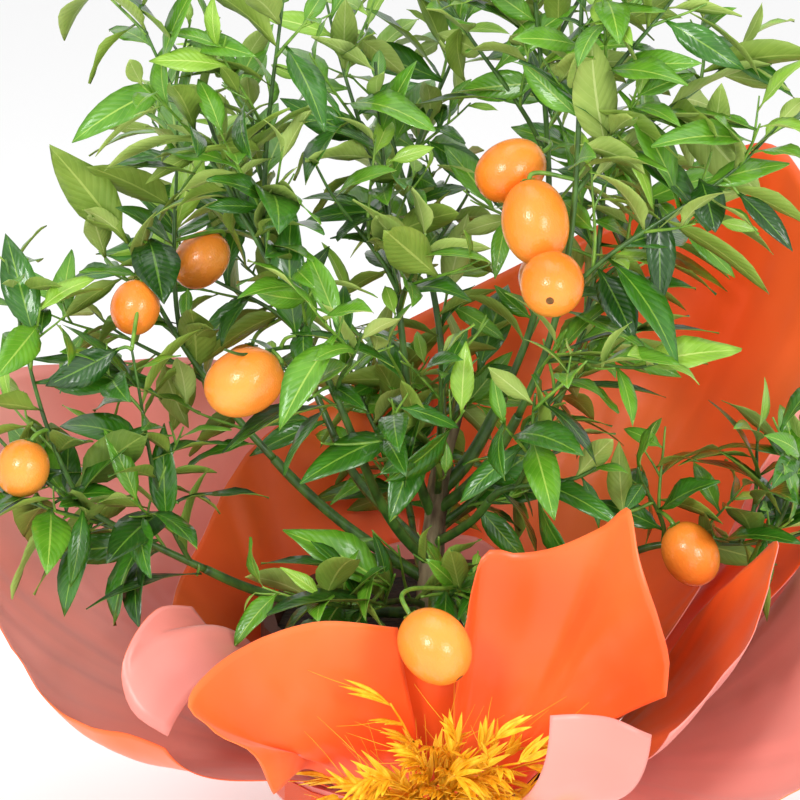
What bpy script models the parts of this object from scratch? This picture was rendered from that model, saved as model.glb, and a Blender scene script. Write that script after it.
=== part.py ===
"""Potted calamondin tree with oval fruit, given as a present in two-coloured florist's film.

Metres, +Z up, the front of the plant towards -Y. The origin is the middle of the pot's flat underside.
The film is orange on one side and rose on the other. It is gathered round the pot under a ribbon and
opens above it into lapels that stand round the foot of the tree.
"""

import math
import random

import bmesh
import bpy
from mathutils import Matrix, Vector
from mathutils.bvhtree import BVHTree

SEED = 41
GAP = 0.0003
UP = Vector((0.0, 0.0, 1.0))

# Pot and soil
POT_HEIGHT = 0.150
POT_TOP_RADIUS = 0.085
POT_FOOT_RADIUS = 0.062
POT_WALL = 0.0028
RIM_DEPTH = 0.014
RIM_LIP = 0.004
FOOT_ROUND = 0.0012
POT_SIDES = 24
SOIL_TOP = 0.143

# Trunk: it stands a little off the middle and leans a little to the right
TRUNK_FOOT = Vector((-0.003, 0.0, SOIL_TOP + GAP))
TRUNK_TOP = Vector((0.003, 0.0, 0.228))
TRUNK_FLARE = 0.0115
TRUNK_GIRTH = 0.0064
TRUNK_NECK = 0.0052
STUB_TIP = Vector((0.013, 0.0, 0.264))
STUB_RADIUS = 0.0034

# Each bough: height of its foot on the trunk, its tip, its radius there, and its pitch at both ends
BOUGHS = {
    "bough_low_left": (0.150, (-0.115, -0.030, 0.183), 0.0030, 4, 32),
    "bough_left": (0.166, (-0.082, 0.012, 0.228), 0.0032, 30, 48),
    "bough_front": (0.176, (-0.038, -0.038, 0.246), 0.0030, 38, 66),
    "bough_centre": (0.199, (-0.012, -0.014, 0.248), 0.0028, 55, 84),
    "bough_main": (0.214, (0.034, 0.008, 0.262), 0.0038, 35, 62),
    "bough_right": (0.204, (0.040, -0.030, 0.262), 0.0032, 35, 62),
    "bough_low_right": (0.186, (0.026, -0.040, 0.222), 0.0026, 30, 50),
    "bough_far_right": (0.152, (0.095, -0.022, 0.188), 0.0028, 10, 30),
    "bough_back_left": (0.180, (-0.052, 0.062, 0.225), 0.0028, 25, 55),
    "bough_back": (0.208, (0.004, 0.052, 0.250), 0.0028, 35, 65),
    "bough_back_right": (0.192, (0.058, 0.068, 0.228), 0.0028, 20, 52),
    "bough_back_low": (0.156, (-0.012, 0.078, 0.176), 0.0024, 8, 35),
}
BOUGH_SIDES = 1
BOUGH_TAPER = 0.74

# Each mass: what carries it, its stem's tip, and its arms as (place along the stem, tip of the arm)
MASSES = {
    "foliage_low_left": (
        "bough_low_left",
        (-0.217, -0.060, 0.266),
        [(0.06, (-0.146, -0.060, 0.303)), (0.30, (-0.222, -0.034, 0.232)), (0.52, (-0.206, -0.050, 0.345))],
    ),
    "foliage_left": (
        "bough_left",
        (-0.153, -0.004, 0.346),
        [(0.35, (-0.176, 0.040, 0.300)), (0.55, (-0.128, 0.016, 0.400))],
    ),
    "foliage_front": (
        "bough_front",
        (-0.113, -0.030, 0.420),
        [
            (0.30, (-0.100, -0.088, 0.310)),
            (0.46, (-0.148, -0.036, 0.478)),
            (0.56, (-0.070, -0.036, 0.502)),
            (0.16, (-0.036, -0.090, 0.318)),
        ],
    ),
    "foliage_centre": (
        "bough_centre",
        (-0.030, 0.000, 0.432),
        [(0.34, (-0.008, -0.052, 0.350)), (0.55, (-0.054, 0.022, 0.458)), (0.40, (-0.058, -0.030, 0.386))],
    ),
    "foliage_main": (
        "bough_main",
        (0.044, 0.002, 0.532),
        [(0.28, (0.024, 0.004, 0.368)), (0.45, (0.000, 0.006, 0.472)), (0.60, (0.092, 0.036, 0.500))],
    ),
    "foliage_right": (
        "bough_right",
        (0.070, -0.034, 0.524),
        [
            (0.24, (0.160, -0.052, 0.410)),
            (0.44, (0.152, -0.004, 0.446)),
            (0.56, (0.122, -0.040, 0.488)),
            (0.12, (0.104, -0.074, 0.300)),
        ],
    ),
    "foliage_low_right": ("bough_low_right", (0.076, -0.066, 0.246), [(0.30, (0.046, -0.078, 0.286))]),
    "foliage_far_right": (
        "bough_far_right",
        (0.186, -0.040, 0.208),
        [(0.20, (0.098, -0.044, 0.240)), (0.60, (0.158, -0.030, 0.256)), (0.72, (0.176, -0.052, 0.248))],
    ),
    "foliage_core": ("trunk", (0.002, -0.046, 0.300), [(0.40, (-0.030, -0.064, 0.262))]),
    "foliage_core_right": ("trunk", (0.074, -0.006, 0.300), []),
    "foliage_low_front": ("trunk", (-0.056, -0.080, 0.186), []),
    "foliage_low_front_right": ("trunk", (0.010, -0.066, 0.186), []),
    "foliage_back_left": (
        "bough_back_left",
        (-0.100, 0.100, 0.418),
        [(0.30, (-0.136, 0.078, 0.322)), (0.50, (-0.148, 0.110, 0.384))],
    ),
    "foliage_back": (
        "bough_back",
        (-0.036, 0.110, 0.436),
        [(0.34, (0.022, 0.124, 0.352)), (0.55, (0.018, 0.094, 0.446))],
    ),
    "foliage_back_right": (
        "bough_back_right",
        (0.096, 0.112, 0.446),
        [(0.34, (0.150, 0.080, 0.352)), (0.50, (0.058, 0.128, 0.404))],
    ),
    "foliage_back_low": ("bough_back_low", (-0.046, 0.118, 0.252), [(0.40, (0.026, 0.116, 0.250))]),
}
# Masses that leave the trunk itself: the height where they do
TRUNK_SEATS = {
    "foliage_core": 0.212,
    "foliage_core_right": 0.194,
    "foliage_low_front": 0.152,
    "foliage_low_front_right": 0.160,
}

# Twigs and leaves
STEM_RADIUS = 0.0019
ARM_RADIUS = 0.0014
TWIG_RADIUS = 0.0011
TIP_SHARE = 0.5
TWIG_EVERY = 0.072
LEAF_EVERY = 0.0265
LEAF_LENGTH = 0.056
LEAF_ASPECT = 0.34
LEAF_TRIES = (1.0, 0.94, 0.86, 0.74, 0.62)
LEAF_THICKNESS = 0.013
LEAF_ARCH = 0.10
GOLDEN_TURN = math.radians(137.5)
FLAT = math.radians(0.4)
CLEARANCE = 0.0016
HULL_MARGIN = 0.0008

# The leaves that stand out singly: their mass, root, tip and width
LONE_LEAVES = [
    ("foliage_left", (-0.152, -0.005, 0.343), (-0.185, -0.030, 0.394), 0.025),
    ("foliage_left", (-0.141, -0.010, 0.346), (-0.132, -0.042, 0.321), 0.026),
    ("foliage_right", (0.064, -0.035, 0.298), (0.133, -0.060, 0.309), 0.012),
    ("foliage_core_right", (0.052, 0.000, 0.266), (0.112, -0.020, 0.267), 0.012),
    ("foliage_core_right", (0.044, -0.020, 0.253), (0.085, -0.038, 0.258), 0.012),
    ("foliage_far_right", (0.092, -0.040, 0.212), (0.090, -0.030, 0.248), 0.014),
    ("foliage_right", (0.077, -0.045, 0.339), (0.093, -0.060, 0.308), 0.020),
    ("foliage_centre", (-0.025, 0.000, 0.405), (0.032, -0.020, 0.415), 0.012),
    ("foliage_front", (-0.095, -0.040, 0.389), (-0.055, -0.060, 0.419), 0.018),
    ("foliage_front", (-0.107, -0.035, 0.380), (-0.156, -0.050, 0.387), 0.011),
    ("foliage_low_left", (-0.129, -0.045, 0.222), (-0.082, -0.060, 0.228), 0.012),
    ("foliage_low_left", (-0.116, -0.040, 0.184), (-0.167, -0.088, 0.180), 0.011),
    ("foliage_low_front", (-0.024, -0.050, 0.180), (-0.084, -0.080, 0.200), 0.016),
    ("foliage_low_front", (-0.025, -0.066, 0.176), (-0.080, -0.108, 0.184), 0.024),
    ("foliage_low_front_right", (-0.010, -0.056, 0.176), (0.020, -0.072, 0.198), 0.015),
    ("foliage_core", (0.010, -0.040, 0.240), (-0.028, -0.055, 0.245), 0.013),
    ("foliage_right", (0.124, -0.050, 0.384), (0.130, -0.065, 0.361), 0.019),
    ("foliage_right", (0.141, -0.050, 0.378), (0.167, -0.060, 0.351), 0.012),
    ("foliage_right", (0.122, 0.000, 0.446), (0.170, -0.020, 0.417), 0.015),
    ("foliage_right", (0.105, -0.030, 0.370), (0.107, -0.036, 0.319), 0.016),
    ("foliage_front", (-0.060, -0.055, 0.278), (-0.101, -0.075, 0.255), 0.015),
    ("foliage_low_left", (-0.152, -0.062, 0.304), (-0.186, -0.070, 0.288), 0.018),
    ("foliage_front", (-0.070, -0.064, 0.312), (-0.022, -0.084, 0.299), 0.013),
]

# Each fruit: its mass, its middle, the way its stalk end points, its length and its width
FRUIT = [
    ("foliage_front", (-0.092, -0.072, 0.290), (0.80, 0.10, 0.35), 0.039, 0.032),
    ("foliage_main", (0.035, -0.030, 0.384), (0.85, 0.20, 0.45), 0.036, 0.029),
    ("foliage_right", (0.046, -0.056, 0.364), (-0.15, 0.30, 0.90), 0.041, 0.032),
    ("foliage_right", (0.053, -0.082, 0.340), (0.10, 0.95, 0.25), 0.034, 0.030),
    ("foliage_low_front_right", (-0.002, -0.141, 0.182), (-0.60, 0.45, 0.65), 0.038, 0.032),
    ("foliage_far_right", (0.124, -0.052, 0.198), (-0.50, 0.20, 0.85), 0.033, 0.027),
    ("foliage_low_left", (-0.200, -0.060, 0.244), (0.30, 0.20, 0.90), 0.028, 0.026),
    ("foliage_low_left", (-0.146, -0.036, 0.318), (0.20, 0.30, 0.90), 0.027, 0.024),
    ("foliage_left", (-0.118, 0.026, 0.328), (0.60, 0.20, 0.60), 0.032, 0.026),
    ("foliage_back_left", (-0.100, 0.095, 0.251), (0.20, 0.10, 0.90), 0.032, 0.028),
    ("foliage_back", (0.040, 0.110, 0.356), (0.10, -0.20, 0.90), 0.030, 0.027),
    ("foliage_back_right", (0.058, 0.096, 0.304), (0.20, -0.20, 0.85), 0.030, 0.027),
]
SIGHT_WAY = Vector((0.0, -0.966, 0.259))
SIGHT_REACH = 0.050

# Florist's film: gathered round the pot, with lapels standing on the gather in layers
FILM = 0.0012
GATHER_FOOT = 0.058
GATHER_TOP = 0.0797
SHEET_FOOT = 0.0806
SLEEVE_FOOT = 0.004
INNERMOST = 0.0770
LAYER_STEP = 0.0021
GATHER_OUTER = 0.0866
RIBBON = 0.0008
RIBBON_MARGIN = 0.0025

# Each sheet: slot, bearings of its foot, layer, pitch at its foot, and its edge as (x, y, z, arriving pitch)
SHEETS = {
    "wrap_back_right": (
        "film_orange", (4, 112), 1, 50,
        [(0.166, 0.040, 0.210, 68), (0.212, 0.086, 0.285, 80), (0.183, 0.140, 0.366, 84),
         (0.103, 0.166, 0.323, 80), (0.030, 0.170, 0.285, 78), (-0.029, 0.165, 0.256, 72)],
    ),
    "wrap_back_inner": (
        "film_rose", (56, 92), 0, 62,
        [(0.038, 0.086, 0.152, 74), (0.024, 0.091, 0.161, 76), (0.004, 0.093, 0.162, 76),
         (-0.018, 0.093, 0.158, 76), (-0.040, 0.090, 0.152, 74)],
    ),
    "wrap_back_left_inner": (
        "film_orange", (96, 196), 0, 52,
        [(0.004, 0.146, 0.246, 72), (-0.056, 0.134, 0.230, 70), (-0.099, 0.100, 0.207, 66),
         (-0.120, 0.050, 0.178, 60), (-0.134, 0.000, 0.155, 52), (-0.126, -0.034, 0.136, 40)],
    ),
    "wrap_back_left": (
        "film_rose", (124, 232), 3, 34,
        [(-0.074, 0.170, 0.215, 70), (-0.120, 0.160, 0.242, 72), (-0.184, 0.138, 0.246, 66),
         (-0.230, 0.090, 0.252, 66), (-0.246, 0.040, 0.233, 62), (-0.240, -0.006, 0.196, 58),
         (-0.215, -0.050, 0.160, 56), (-0.190, -0.084, 0.136, 56), (-0.170, -0.104, 0.130, 58),
         (-0.148, -0.120, 0.131, 60), (-0.128, -0.132, 0.128, 60)],
    ),
    "wrap_front_left_rose": (
        "film_rose", (200, 230), 1, 74,
        [(-0.118, -0.084, 0.182, 50), (-0.132, -0.104, 0.188, 30), (-0.144, -0.122, 0.178, 0),
         (-0.148, -0.130, 0.164, -30), (-0.142, -0.138, 0.148, -50), (-0.126, -0.142, 0.138, -55)],
    ),
    "wrap_front_left": (
        "film_orange", (233, 268), 2, 45,
        [(-0.076, -0.168, 0.120, 10), (-0.084, -0.188, 0.148, 20), (-0.101, -0.190, 0.160, 30),
         (-0.114, -0.182, 0.170, 45), (-0.104, -0.166, 0.180, 58), (-0.082, -0.146, 0.188, 68),
         (-0.052, -0.128, 0.190, 74), (-0.019, -0.112, 0.181, 78)],
    ),
    "wrap_front_right": (
        "film_orange", (272, 300), 2, 45,
        [(0.010, -0.112, 0.170, 78), (0.021, -0.102, 0.213, 84), (0.038, -0.104, 0.215, 82),
         (0.057, -0.110, 0.221, 80), (0.075, -0.120, 0.233, 76), (0.087, -0.132, 0.246, 72),
         (0.091, -0.145, 0.228, 60), (0.097, -0.155, 0.208, 50), (0.104, -0.162, 0.186, 40),
         (0.103, -0.164, 0.166, 30)],
    ),
    "wrap_front_right_rose": (
        "film_rose", (284, 302), 3, 14,
        [(0.050, -0.172, 0.160, 92), (0.064, -0.176, 0.162, 92), (0.080, -0.178, 0.160, 90),
         (0.096, -0.176, 0.152, 84)],
    ),
    "wrap_right": (
        "film_orange", (303, 350), 1, 40,
        [(0.106, -0.158, 0.146, 60), (0.122, -0.148, 0.160, 62), (0.142, -0.132, 0.177, 64),
         (0.152, -0.116, 0.193, 66), (0.161, -0.092, 0.217, 68), (0.150, -0.074, 0.200, 66),
         (0.136, -0.058, 0.178, 62), (0.124, -0.044, 0.158, 56)],
    ),
    "wrap_low_right": (
        "film_rose", (305, 358), 3, 26,
        [(0.120, -0.156, 0.100, 26), (0.166, -0.148, 0.112, 32), (0.186, -0.122, 0.128, 44),
         (0.196, -0.096, 0.154, 54), (0.196, -0.066, 0.178, 60), (0.188, -0.036, 0.192, 64),
         (0.186, -0.010, 0.184, 62)],
    ),
    "wrap_right_orange": (
        "film_orange", (0, 34), 2, 40,
        [(0.196, 0.000, 0.190, 58), (0.193, 0.022, 0.203, 60), (0.190, 0.050, 0.212, 62),
         (0.188, 0.066, 0.214, 62)],
    ),
    "wrap_right_rose": (
        "film_rose", (8, 60), 4, 30,
        [(0.218, 0.000, 0.184, 52), (0.222, 0.022, 0.204, 56), (0.216, 0.050, 0.219, 60),
         (0.206, 0.082, 0.222, 62), (0.186, 0.110, 0.216, 64)],
    ),
    "wrap_front_inner": (
        "film_orange", (244, 296), 0, 55,
        [(-0.040, -0.090, 0.158, 74), (-0.012, -0.096, 0.162, 78), (0.016, -0.096, 0.162, 78),
         (0.044, -0.090, 0.158, 74)],
    ),
}
SHEET_PULL = 0.36
TURNED_PULL = 0.50

# Dried oats tied at the front of the ribbon
OAT_KNOT = Vector((0.0, -0.0905, 0.068))
OAT_BUNDLE_TOP = Vector((0.0, -0.1160, 0.090))
OAT_BUNDLE_RADIUS = 0.0042
OAT_STEMS = 8
OAT_STEM_RADIUS = 0.0008
OAT_REACH = 0.088
OAT_HEADS_EACH = 3
OAT_HEAD_LENGTH = 0.030
OAT_HEAD_WIDTH = 0.0062
OAT_FAN = 120

# Slot, colour, roughness and metallic value
COLOURS = {
    "pot_plastic": ((0.19, 0.075, 0.045), 0.6),
    "soil": ((0.035, 0.022, 0.014), 0.95),
    "bark": ((0.16, 0.12, 0.075), 0.85),
    "green_bark": ((0.045, 0.10, 0.022), 0.5),
    "foliage": ((0.05, 0.16, 0.015), 0.4),
    "film_orange": ((0.95, 0.13, 0.015), 0.42),
    "film_rose": ((0.62, 0.22, 0.18), 0.45),
    "ribbon": ((0.70, 0.10, 0.02), 0.35),
    "oat": ((0.80, 0.42, 0.02), 0.6),
}


def clear_scene():
    for ob in list(bpy.data.objects):
        bpy.data.objects.remove(ob, do_unlink=True)


def collection(name):
    found = bpy.data.collections.new(name)
    bpy.context.scene.collection.children.link(found)
    return found


def material(slot):
    """The slot's Principled material, made once."""
    made = bpy.data.materials.get(slot)
    if made is None:
        made = bpy.data.materials.new(slot)
        made.use_nodes = True
        colour, roughness = COLOURS[slot]
        shader = made.node_tree.nodes["Principled BSDF"]
        shader.inputs["Base Color"].default_value = (*colour, 1.0)
        shader.inputs["Roughness"].default_value = roughness
        shader.inputs["Metallic"].default_value = 0.0
    return made


def add_object(name, mesh, slot, home):
    ob = bpy.data.objects.new(name, mesh)
    home.objects.link(ob)
    if slot:
        ob.data.materials.append(material(slot))
    return ob


def mesh_from(name, verts, faces, smooth=False):
    mesh = bpy.data.meshes.new(name)
    mesh.from_pydata([tuple(v) for v in verts], [], faces)
    mesh.validate()
    if smooth:
        mesh.shade_smooth()
    return mesh


def apply_modifiers(ob):
    """Freezes the object's modifiers into its mesh."""
    evaluated = ob.evaluated_get(bpy.context.evaluated_depsgraph_get())
    mesh = bpy.data.meshes.new_from_object(evaluated)
    ob.modifiers.clear()
    ob.data = mesh


def turned(name, profile, slot, home, sides=POT_SIDES):
    """A closed profile of (radius, height), outer side first and top to bottom, turned about Z."""
    mesh = bpy.data.meshes.new(name)
    points = [(r, 0.0, z) for r, z in profile]
    on_axis = profile[0][0] == 0.0 and profile[-1][0] == 0.0
    edges = [(i, i + 1) for i in range(len(points) - 1)]
    if not on_axis:
        edges.append((len(points) - 1, 0))
    mesh.from_pydata(points, edges, [])
    ob = add_object(name, mesh, slot, home)
    screw = ob.modifiers.new("Turn", "SCREW")
    screw.steps = sides
    screw.render_steps = sides
    screw.use_merge_vertices = True
    screw.merge_threshold = 0.00002
    return ob


def tube(name, points, radii, slot, home, resolution):
    """A tapering tube through the points, with closed ends."""
    curve = bpy.data.curves.new(name, "CURVE")
    curve.dimensions = "3D"
    curve.bevel_depth = 1.0
    curve.bevel_resolution = resolution
    curve.use_fill_caps = True
    spline = curve.splines.new("POLY")
    spline.points.add(len(points) - 1)
    for place, point, radius in zip(spline.points, points, radii):
        place.co = (*point, 1.0)
        place.radius = radius
    guide = bpy.data.objects.new(name + "_guide", curve)
    home.objects.link(guide)
    evaluated = guide.evaluated_get(bpy.context.evaluated_depsgraph_get())
    mesh = bpy.data.meshes.new_from_object(evaluated)
    bm = bmesh.new()
    bm.from_mesh(mesh)
    bmesh.ops.remove_doubles(bm, verts=bm.verts, dist=0.00001)
    bmesh.ops.recalc_face_normals(bm, faces=bm.faces)
    bm.to_mesh(mesh)
    bm.free()
    bpy.data.objects.remove(guide, do_unlink=True)
    mesh.materials.clear()
    mesh.shade_smooth()
    mesh.set_sharp_from_angle(angle=math.radians(50))
    return add_object(name, mesh, slot, home)


def bezier(p0, p1, p2, p3, t):
    s = 1.0 - t
    return p0 * s**3 + p1 * (3 * s * s * t) + p2 * (3 * s * t * t) + p3 * t**3


def limb(start, leave, end, arrive, count):
    """Points on one smooth curve that leaves and arrives along the given directions."""
    pull = (end - start).length * 0.36
    return [bezier(start, start + leave * pull, end - arrive * pull, end, i / (count - 1)) for i in range(count)]


def pitched(heading, degrees):
    """The heading's level direction, raised by the pitch."""
    level = Vector((heading.x, heading.y, 0.0)).normalized()
    angle = math.radians(degrees)
    return (level * math.cos(angle) + UP * math.sin(angle)).normalized()


def pot_radius(height):
    """Outer radius of the pot's plain wall."""
    return POT_FOOT_RADIUS + FOOT_ROUND + (POT_TOP_RADIUS - POT_FOOT_RADIUS) * height / POT_HEIGHT


def make_pot(home):
    """Plastic nursery pot: tapering wall, thicker rim, flat underside."""
    lip = POT_TOP_RADIUS + RIM_LIP
    under_rim = POT_HEIGHT - RIM_DEPTH
    profile = [
        (0.0, POT_WALL),
        (POT_FOOT_RADIUS - POT_WALL, POT_WALL),
        (POT_TOP_RADIUS - POT_WALL, POT_HEIGHT),
        (lip, POT_HEIGHT),
        (lip, under_rim),
        (pot_radius(under_rim - RIM_LIP), under_rim - RIM_LIP),
        (pot_radius(FOOT_ROUND), FOOT_ROUND),
        (POT_FOOT_RADIUS, 0.0),
        (0.0, 0.0),
    ]
    return turned("pot", profile, "pot_plastic", home)


def make_soil(home):
    slope = (POT_TOP_RADIUS - POT_FOOT_RADIUS) / (POT_HEIGHT - POT_WALL)
    foot = POT_FOOT_RADIUS - POT_WALL - 2 * GAP
    top = foot + slope * (SOIL_TOP - POT_WALL) - GAP
    profile = [(0.0, SOIL_TOP), (top, SOIL_TOP), (foot, POT_WALL + GAP), (0.0, POT_WALL + GAP)]
    return turned("soil", profile, "soil", home, 24)


def trunk_point(height):
    share = (height - TRUNK_FOOT.z) / (TRUNK_TOP.z - TRUNK_FOOT.z)
    bow = math.sin(share * math.pi) * 0.0012
    return Vector((TRUNK_FOOT.x + (TRUNK_TOP.x - TRUNK_FOOT.x) * share * share, bow, height))


def trunk_radius(height):
    rise = height - TRUNK_FOOT.z
    share = rise / (TRUNK_TOP.z - TRUNK_FOOT.z)
    flare = (TRUNK_FLARE - TRUNK_GIRTH) * math.exp(-rise / 0.007)
    return TRUNK_GIRTH + (TRUNK_NECK - TRUNK_GIRTH) * share + flare


def make_trunk(name, home, swell=0.0, reach=0.0):
    rises = [0.0, 0.003, 0.008, 0.016, 0.032, 0.052, 0.072]
    heights = [TRUNK_FOOT.z + rise for rise in rises] + [TRUNK_TOP.z + reach]
    points = [trunk_point(height) for height in heights]
    points[0].z -= reach
    points[1].x = points[0].x
    points[1].y = points[0].y
    radii = [trunk_radius(height) + swell for height in heights]
    return tube(name, points, radii, "bark", home, 3)


def make_boughs(parts, cutters):
    """Twelve tapering limbs, each cut to sit 0.3 mm off the trunk."""
    keep_off = make_trunk("trunk_keep_off", cutters, swell=GAP, reach=0.002)
    keep_off.hide_render = True
    keep_off.display_type = "WIRE"
    ends = {}
    for name, (height, tip, radius, leave, arrive) in BOUGHS.items():
        start = trunk_point(height)
        tip = Vector(tip)
        heading = tip - start
        points = limb(start, pitched(heading, leave), tip, pitched(heading, arrive), 8)
        radii = [radius * (1.0 - (1.0 - BOUGH_TAPER) * i / 7) for i in range(8)]
        ob = tube(name, points, radii, "green_bark", parts, BOUGH_SIDES)
        cut = ob.modifiers.new("Seat", "BOOLEAN")
        cut.operation = "DIFFERENCE"
        cut.object = keep_off
        ends[name] = (tip, (points[-1] - points[-2]).normalized(), radius * BOUGH_TAPER)
    return ends


def make_stub(parts):
    """The cut end of the old leader, on top of the trunk."""
    way = (STUB_TIP - TRUNK_TOP).normalized()
    lift = GAP + STUB_RADIUS * math.hypot(way.x, way.y) + 0.0002
    foot = TRUNK_TOP + way * lift
    points = limb(foot, way, STUB_TIP, way, 4)
    radii = [STUB_RADIUS * share for share in (1.15, 1.0, 0.96, 0.94)]
    return tube("cut_stub", points, radii, "bark", parts, 2)


def surface_point(edge, share):
    """A point and pitch on the smooth line through the edge's points, by share of its length."""
    places = [Vector(e[:3]) for e in edge]
    runs = [(b - a).length for a, b in zip(places, places[1:])]
    goal = share * sum(runs)
    index = 0
    while index < len(runs) - 1 and goal > runs[index]:
        goal -= runs[index]
        index += 1
    t = min(goal / runs[index], 1.0)
    before = places[max(index - 1, 0)]
    a, b = places[index], places[index + 1]
    after = places[min(index + 2, len(places) - 1)]
    ta, tb = (b - before) * 0.5, (after - a) * 0.5
    point = (
        a * (2 * t**3 - 3 * t**2 + 1) + ta * (t**3 - 2 * t**2 + t) + b * (3 * t**2 - 2 * t**3) + tb * (t**3 - t**2)
    )
    pitch = edge[index][3] * (1.0 - t) + edge[index + 1][3] * t
    return point, pitch


def sheet_rib(spec, share):
    """Start, two pulls and end of the sheet's rib at this share of its width."""
    _, bearings, layer, leave, edge = spec
    bearing = math.radians(bearings[0] + (bearings[1] - bearings[0]) * share)
    radius = INNERMOST + LAYER_STEP * layer
    foot = Vector((radius * math.cos(bearing), radius * math.sin(bearing), SHEET_FOOT))
    end, pitch = surface_point(edge, share)
    length = (end - foot).length
    out = pitched(Vector((foot.x, foot.y, 0.0)), leave)
    arrive = pitched(end - foot, pitch)
    pull = length * (SHEET_PULL if pitch > 0 else TURNED_PULL)
    return foot, foot + out * pull, end - arrive * pull, end


def make_sheet(name, spec, home):
    """One lapel of film, as an open surface given its thickness."""
    edge = spec[4]
    width = sum((Vector(b[:3]) - Vector(a[:3])).length for a, b in zip(edge, edge[1:]))
    across = max(5, min(10, round(width / 0.034)))
    along = 6
    verts = []
    for i in range(across + 1):
        rib = sheet_rib(spec, i / across)
        verts += [bezier(*rib, j / along) for j in range(along + 1)]
    row = along + 1
    faces = [
        (i * row + j, (i + 1) * row + j, (i + 1) * row + j + 1, i * row + j + 1)
        for i in range(across)
        for j in range(along)
    ]
    mesh = mesh_from(name, verts, faces, smooth=True)
    ob = add_object(name, mesh, spec[0], home)
    wall = ob.modifiers.new("Film", "SOLIDIFY")
    wall.thickness = FILM
    wall.offset = 0.0
    wall.use_even_offset = True
    return ob


def make_wrap(home):
    foot = pot_radius(SLEEVE_FOOT) + GAP
    top = pot_radius(GATHER_TOP) + GAP
    thin = FILM * 0.75
    sleeve = [(top, GATHER_TOP), (top + thin, GATHER_TOP), (foot + thin, SLEEVE_FOOT), (foot, SLEEVE_FOOT)]
    turned("wrap_sleeve", sleeve, "film_orange", home, 24)
    gather = [
        (top + thin + GAP, GATHER_TOP),
        (GATHER_OUTER, GATHER_TOP),
        (GATHER_OUTER, GATHER_FOOT + 0.006),
        (GATHER_OUTER - 0.004, GATHER_FOOT),
        (pot_radius(GATHER_FOOT) + 2 * GAP + thin, GATHER_FOOT),
    ]
    turned("wrap_gather", gather, "film_rose", home, 24)
    near = GATHER_OUTER + GAP
    band_top, band_foot = GATHER_TOP - RIBBON_MARGIN, GATHER_FOOT + 0.006 + RIBBON_MARGIN * 0.4
    band = [(near, band_top), (near + RIBBON, band_top), (near + RIBBON, band_foot), (near, band_foot)]
    turned("ribbon", band, "ribbon", home, 24)
    return [make_sheet(name, spec, home) for name, spec in SHEETS.items()]


def solid_tree(objects):
    """One search tree over the finished surfaces of the objects."""
    graph = bpy.context.evaluated_depsgraph_get()
    verts, faces = [], []
    for ob in objects:
        evaluated = ob.evaluated_get(graph)
        mesh = evaluated.to_mesh()
        base = len(verts)
        verts += [ob.matrix_world @ v.co for v in mesh.vertices]
        faces += [[base + i for i in p.vertices] for p in mesh.polygons]
        evaluated.to_mesh_clear()
    return BVHTree.FromPolygons(verts, faces)


def along(points, share):
    """Point and direction at a share of the line's length."""
    runs = [(b - a).length for a, b in zip(points, points[1:])]
    goal = share * sum(runs)
    index = 0
    while index < len(runs) - 1 and goal > runs[index]:
        goal -= runs[index]
        index += 1
    a, b = points[index], points[index + 1]
    return a.lerp(b, min(goal / runs[index], 1.0)), (b - a).normalized()


def nearest_on(lines, point):
    """Distance to the nearest of the lines, and the nearest point."""
    best, place = 1.0, None
    for line in lines:
        for a, b in zip(line, line[1:]):
            run = b - a
            t = max(0.0, min(1.0, (point - a).dot(run) / run.length_squared))
            spot = a + run * t
            gap = (point - spot).length
            if gap < best:
                best, place = gap, spot
    return best, place


def plan_mass(name, ends, bark):
    """The mass's stem and arms, as lines of points."""
    carrier, tip, arms = MASSES[name]
    tip = Vector(tip)
    if carrier == "trunk":
        centre = trunk_point(TRUNK_SEATS[name])
        way = pitched(tip - centre, 35)
        level = Vector((way.x, way.y, 0.0)).normalized()
        skin = bark.ray_cast(centre + level * 0.05, -level)[0]
        start = skin + level * (GAP + STEM_RADIUS * 0.5)
    else:
        end, way, _ = ends[carrier]
        start = end + way * (GAP + 0.0002)
    rise = (tip - start).normalized()
    stem = limb(start, way, tip, (rise + UP * 0.45).normalized(), 9)
    lines = [stem]
    for share, arm_tip in arms:
        root, lead = along(stem, share)
        arm_tip = Vector(arm_tip)
        reach = (arm_tip - root).normalized()
        leave = (reach + lead * 0.5).normalized()
        lines.append(limb(root, leave, arm_tip, (reach + UP * 0.40).normalized(), 7))
    return lines


def leaf_frame(way, out):
    """Upper-face normal and sideways direction of a leaf that points this way."""
    heading = Vector((out.x, out.y, 0.0))
    if heading.length < 0.05:
        heading = Vector((0.2, -1.0, 0.0))
    side = UP.cross(heading.normalized())
    face = way.cross(side).normalized()
    return face, face.cross(way).normalized()


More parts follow.
